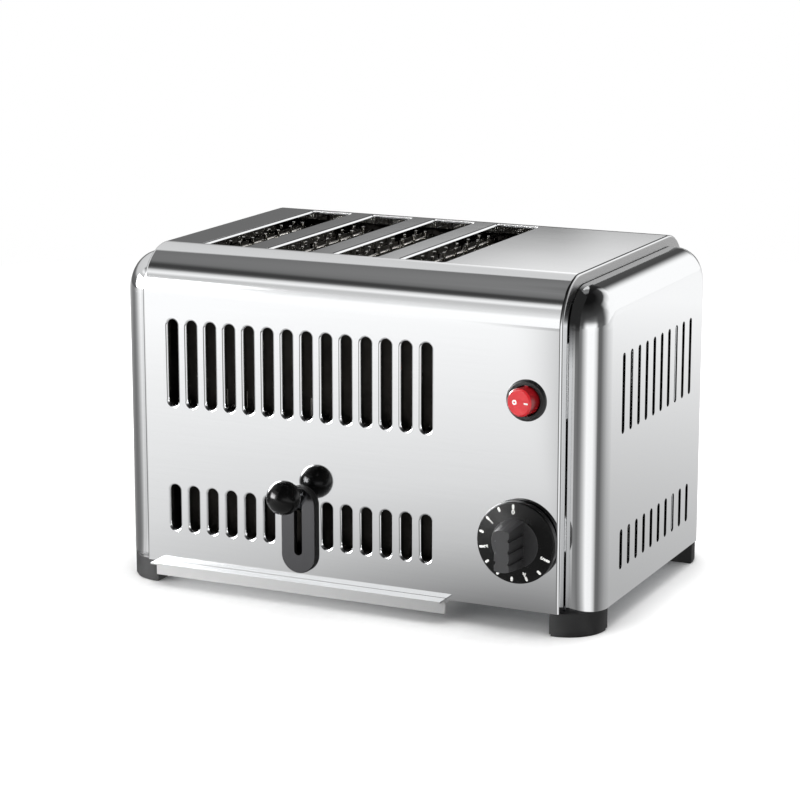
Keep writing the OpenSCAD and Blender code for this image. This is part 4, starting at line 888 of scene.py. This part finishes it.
def light_tent(setup):
    """Hangs a tent of white cloth and grey flags round the toaster; only reflections show it."""
    dome = bmesh.new()
    bmesh.ops.create_uvsphere(dome, u_segments=96, v_segments=48, radius=TENT_RADIUS)
    tent = as_object("light_tent", dome)
    tent.location.z = TENT_MIDDLE
    only_in_reflections(tent)
    finish, tree, shader, place = new_finish("cloth_tent_flagged")
    tree.nodes.remove(shader)
    way = add(tree, "VectorMath", None, {0: place}, operation="NORMALIZE")
    axes = add(tree, "SeparateXYZ", None, {"Vector": way}).outputs
    rise = add(tree, "Math", None, {0: axes["Z"]}, operation="ARCSINE")
    height = add(tree, "Math", {1: 2 / math.pi}, {0: rise}, operation="MULTIPLY")
    turn = add(tree, "Math", None, {0: axes["X"], 1: axes["Y"]}, operation="ARCTAN2")
    bearing = add(tree, "MapRange", {"From Min": -math.pi, "From Max": math.pi}, {"Value": turn})
    colour = None
    for steps, start, end in TENT_PANELS:
        cloth = add(tree, "ValToRGB", None, {"Fac": height},
                    [(degrees / 90, grey(level)) for degrees, level in steps])
        if colour:
            edge = mask(tree, (bearing, (start + 180) / 360, (end + 180) / 360))
            cloth = add(tree, "Mix", None, {"Factor": edge, COLOUR_A: colour, COLOUR_B: cloth},
                        data_type="RGBA")
        colour = cloth
    limits = ((bearing, [(degrees + 180) / 360 for degrees in WINDOW_BEARINGS]),
              (height, [degrees / 90 for degrees in WINDOW_HEIGHTS]))
    window = mask(tree, *((value, at[0], at[1]) for value, at in limits),
                  *((value, at[3], at[2]) for value, at in limits))
    gain = 1 / STEEL_REFLECTS
    level = add(tree, "MapRange", {"To Min": gain, "To Max": gain * (1 + setup.window)}, {"Value": window})
    glow = add(tree, "Emission", None, {"Color": colour, "Strength": level})
    feed(tree, tree.nodes["Material Output"], {"Surface": glow})
    tent.data.materials.append(finish)


# The flag's distance from the wrap's end, its reach from front to back, how far it goes below and above the
# wrap's top, the height over which its lower edge fades out, and its sRGB grey.
FLAG_OFF = 0.4 * MM
FLAG_FRONT, FLAG_BACK = -0.2, -0.075
FLAG_BELOW, FLAG_ABOVE = 0.06, 0.12
FLAG_FADE = 0.035
FLAG_GREY = 38


def black_flag():
    """Stands a dark card beside the right end cap's corner; only that corner's reflections show it."""
    end, _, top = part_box("outer_wrap")[1]
    low, high = top - FLAG_BELOW, top + FLAG_ABOVE
    card = bmesh.new()
    corners = [(FLAG_FRONT, low), (FLAG_BACK, low), (FLAG_BACK, high), (FLAG_FRONT, high)]
    card.faces.new([card.verts.new((end + FLAG_OFF, y, z)) for y, z in corners])
    flag = as_object("black_flag", card)
    only_in_reflections(flag)
    finish, tree, shader, place = new_finish("felt_flag_black")
    tree.nodes.remove(shader)
    felt = add(tree, "Emission", {"Color": grey(FLAG_GREY), "Strength": 1 / STEEL_REFLECTS})
    clear = add(tree, "BsdfTransparent")
    back = add(tree, "NewGeometry").outputs["Backfacing"]
    height = add(tree, "SeparateXYZ", None, {"Vector": place}).outputs["Z"]
    shown = mask(tree, (back, 1, 0), (height, low, low + FLAG_FADE))
    side = add(tree, "MixShader", None, {0: shown, 1: clear, 2: felt})
    feed(tree, tree.nodes["Material Output"], {"Surface": side})
    flag.data.materials.append(finish)


def world(scene, setup):
    """Makes the backdrop white for the camera and for reflections, and an even fill light for the rest."""
    sky = bpy.data.worlds.new("white_studio")
    sky.use_nodes = True
    tree = sky.node_tree
    path = add(tree, "LightPath").outputs
    shown = path["Is Camera Ray"]
    for ray in (path["Is Glossy Ray"], path["Is Transmission Ray"]):
        shown = add(tree, "Math", None, {0: shown, 1: ray}, operation="MAXIMUM")
    level = add(tree, "MapRange", {"To Min": setup.fill, "To Max": 1.0}, {"Value": shown})
    back = tree.nodes["Background"]
    back.inputs["Color"].default_value = WHITE
    feed(tree, back, {"Strength": level})
    scene.world = sky


# The camera's lens and sensor in millimetres, its place, and the way it looks.
SENSOR = 36
LENS = 118.27
EYE = (0.72235, -1.55931, 0.50604)
LOOKS = Vector((-0.41413, 0.88310, -0.22051))


def camera(scene):
    """Stands the camera where the photograph was taken from: front right, a little above."""
    lens = bpy.data.cameras.new("camera")
    lens.sensor_width = SENSOR
    lens.lens = LENS
    eye = bpy.data.objects.new("camera", lens)
    eye.location = EYE
    eye.rotation_euler = LOOKS.to_track_quat("-Z", "Y").to_euler()
    bpy.context.collection.objects.link(eye)
    scene.camera = eye


class TOASTER_PT_sidebar(bpy.types.Panel):
    """Lists the toaster's finishes and steps"""
    bl_label = "Toaster"
    bl_idname = "TOASTER_PT_sidebar"
    bl_space_type = "VIEW_3D"
    bl_region_type = "UI"
    bl_category = "Toaster"

    def draw(self, context):
        for name in GROUPS:
            group = getattr(context.scene, name)
            box = self.layout.box()
            for key in group.__annotations__:
                box.prop(group, key)
        for step in STEPS:
            self.layout.operator(step.bl_idname)


GROUPS = {"toaster_steel": SteelLook, "toaster_chamber": ChamberLook, "toaster_moulding": MouldingLook,
          "toaster_marks": MarkSizes, "toaster_studio": StudioSetup}
STEPS = (TOASTER_OT_polished_shell, TOASTER_OT_plated_fittings, TOASTER_OT_toasting_chamber,
         TOASTER_OT_black_mouldings, TOASTER_OT_rocker, TOASTER_OT_dial_skirt,
         TOASTER_OT_dial_marks, TOASTER_OT_stage)


def register():
    for kind in (*GROUPS.values(), *STEPS, TOASTER_PT_sidebar):
        bpy.utils.register_class(kind)
    for name, kind in GROUPS.items():
        setattr(bpy.types.Scene, name, bpy.props.PointerProperty(type=kind))


def unregister():
    for name in GROUPS:
        delattr(bpy.types.Scene, name)
    for kind in (TOASTER_PT_sidebar, *reversed(STEPS), *reversed(list(GROUPS.values()))):
        bpy.utils.unregister_class(kind)


def main():
    register()
    bpy.ops.toaster.polished_shell()
    bpy.ops.toaster.plated_fittings()
    bpy.ops.toaster.toasting_chamber()
    bpy.ops.toaster.black_mouldings()
    bpy.ops.toaster.rocker()
    bpy.ops.toaster.dial_skirt()
    bpy.ops.toaster.dial_marks()
    bpy.ops.toaster.stage()


if __name__ == "__main__":
    main()
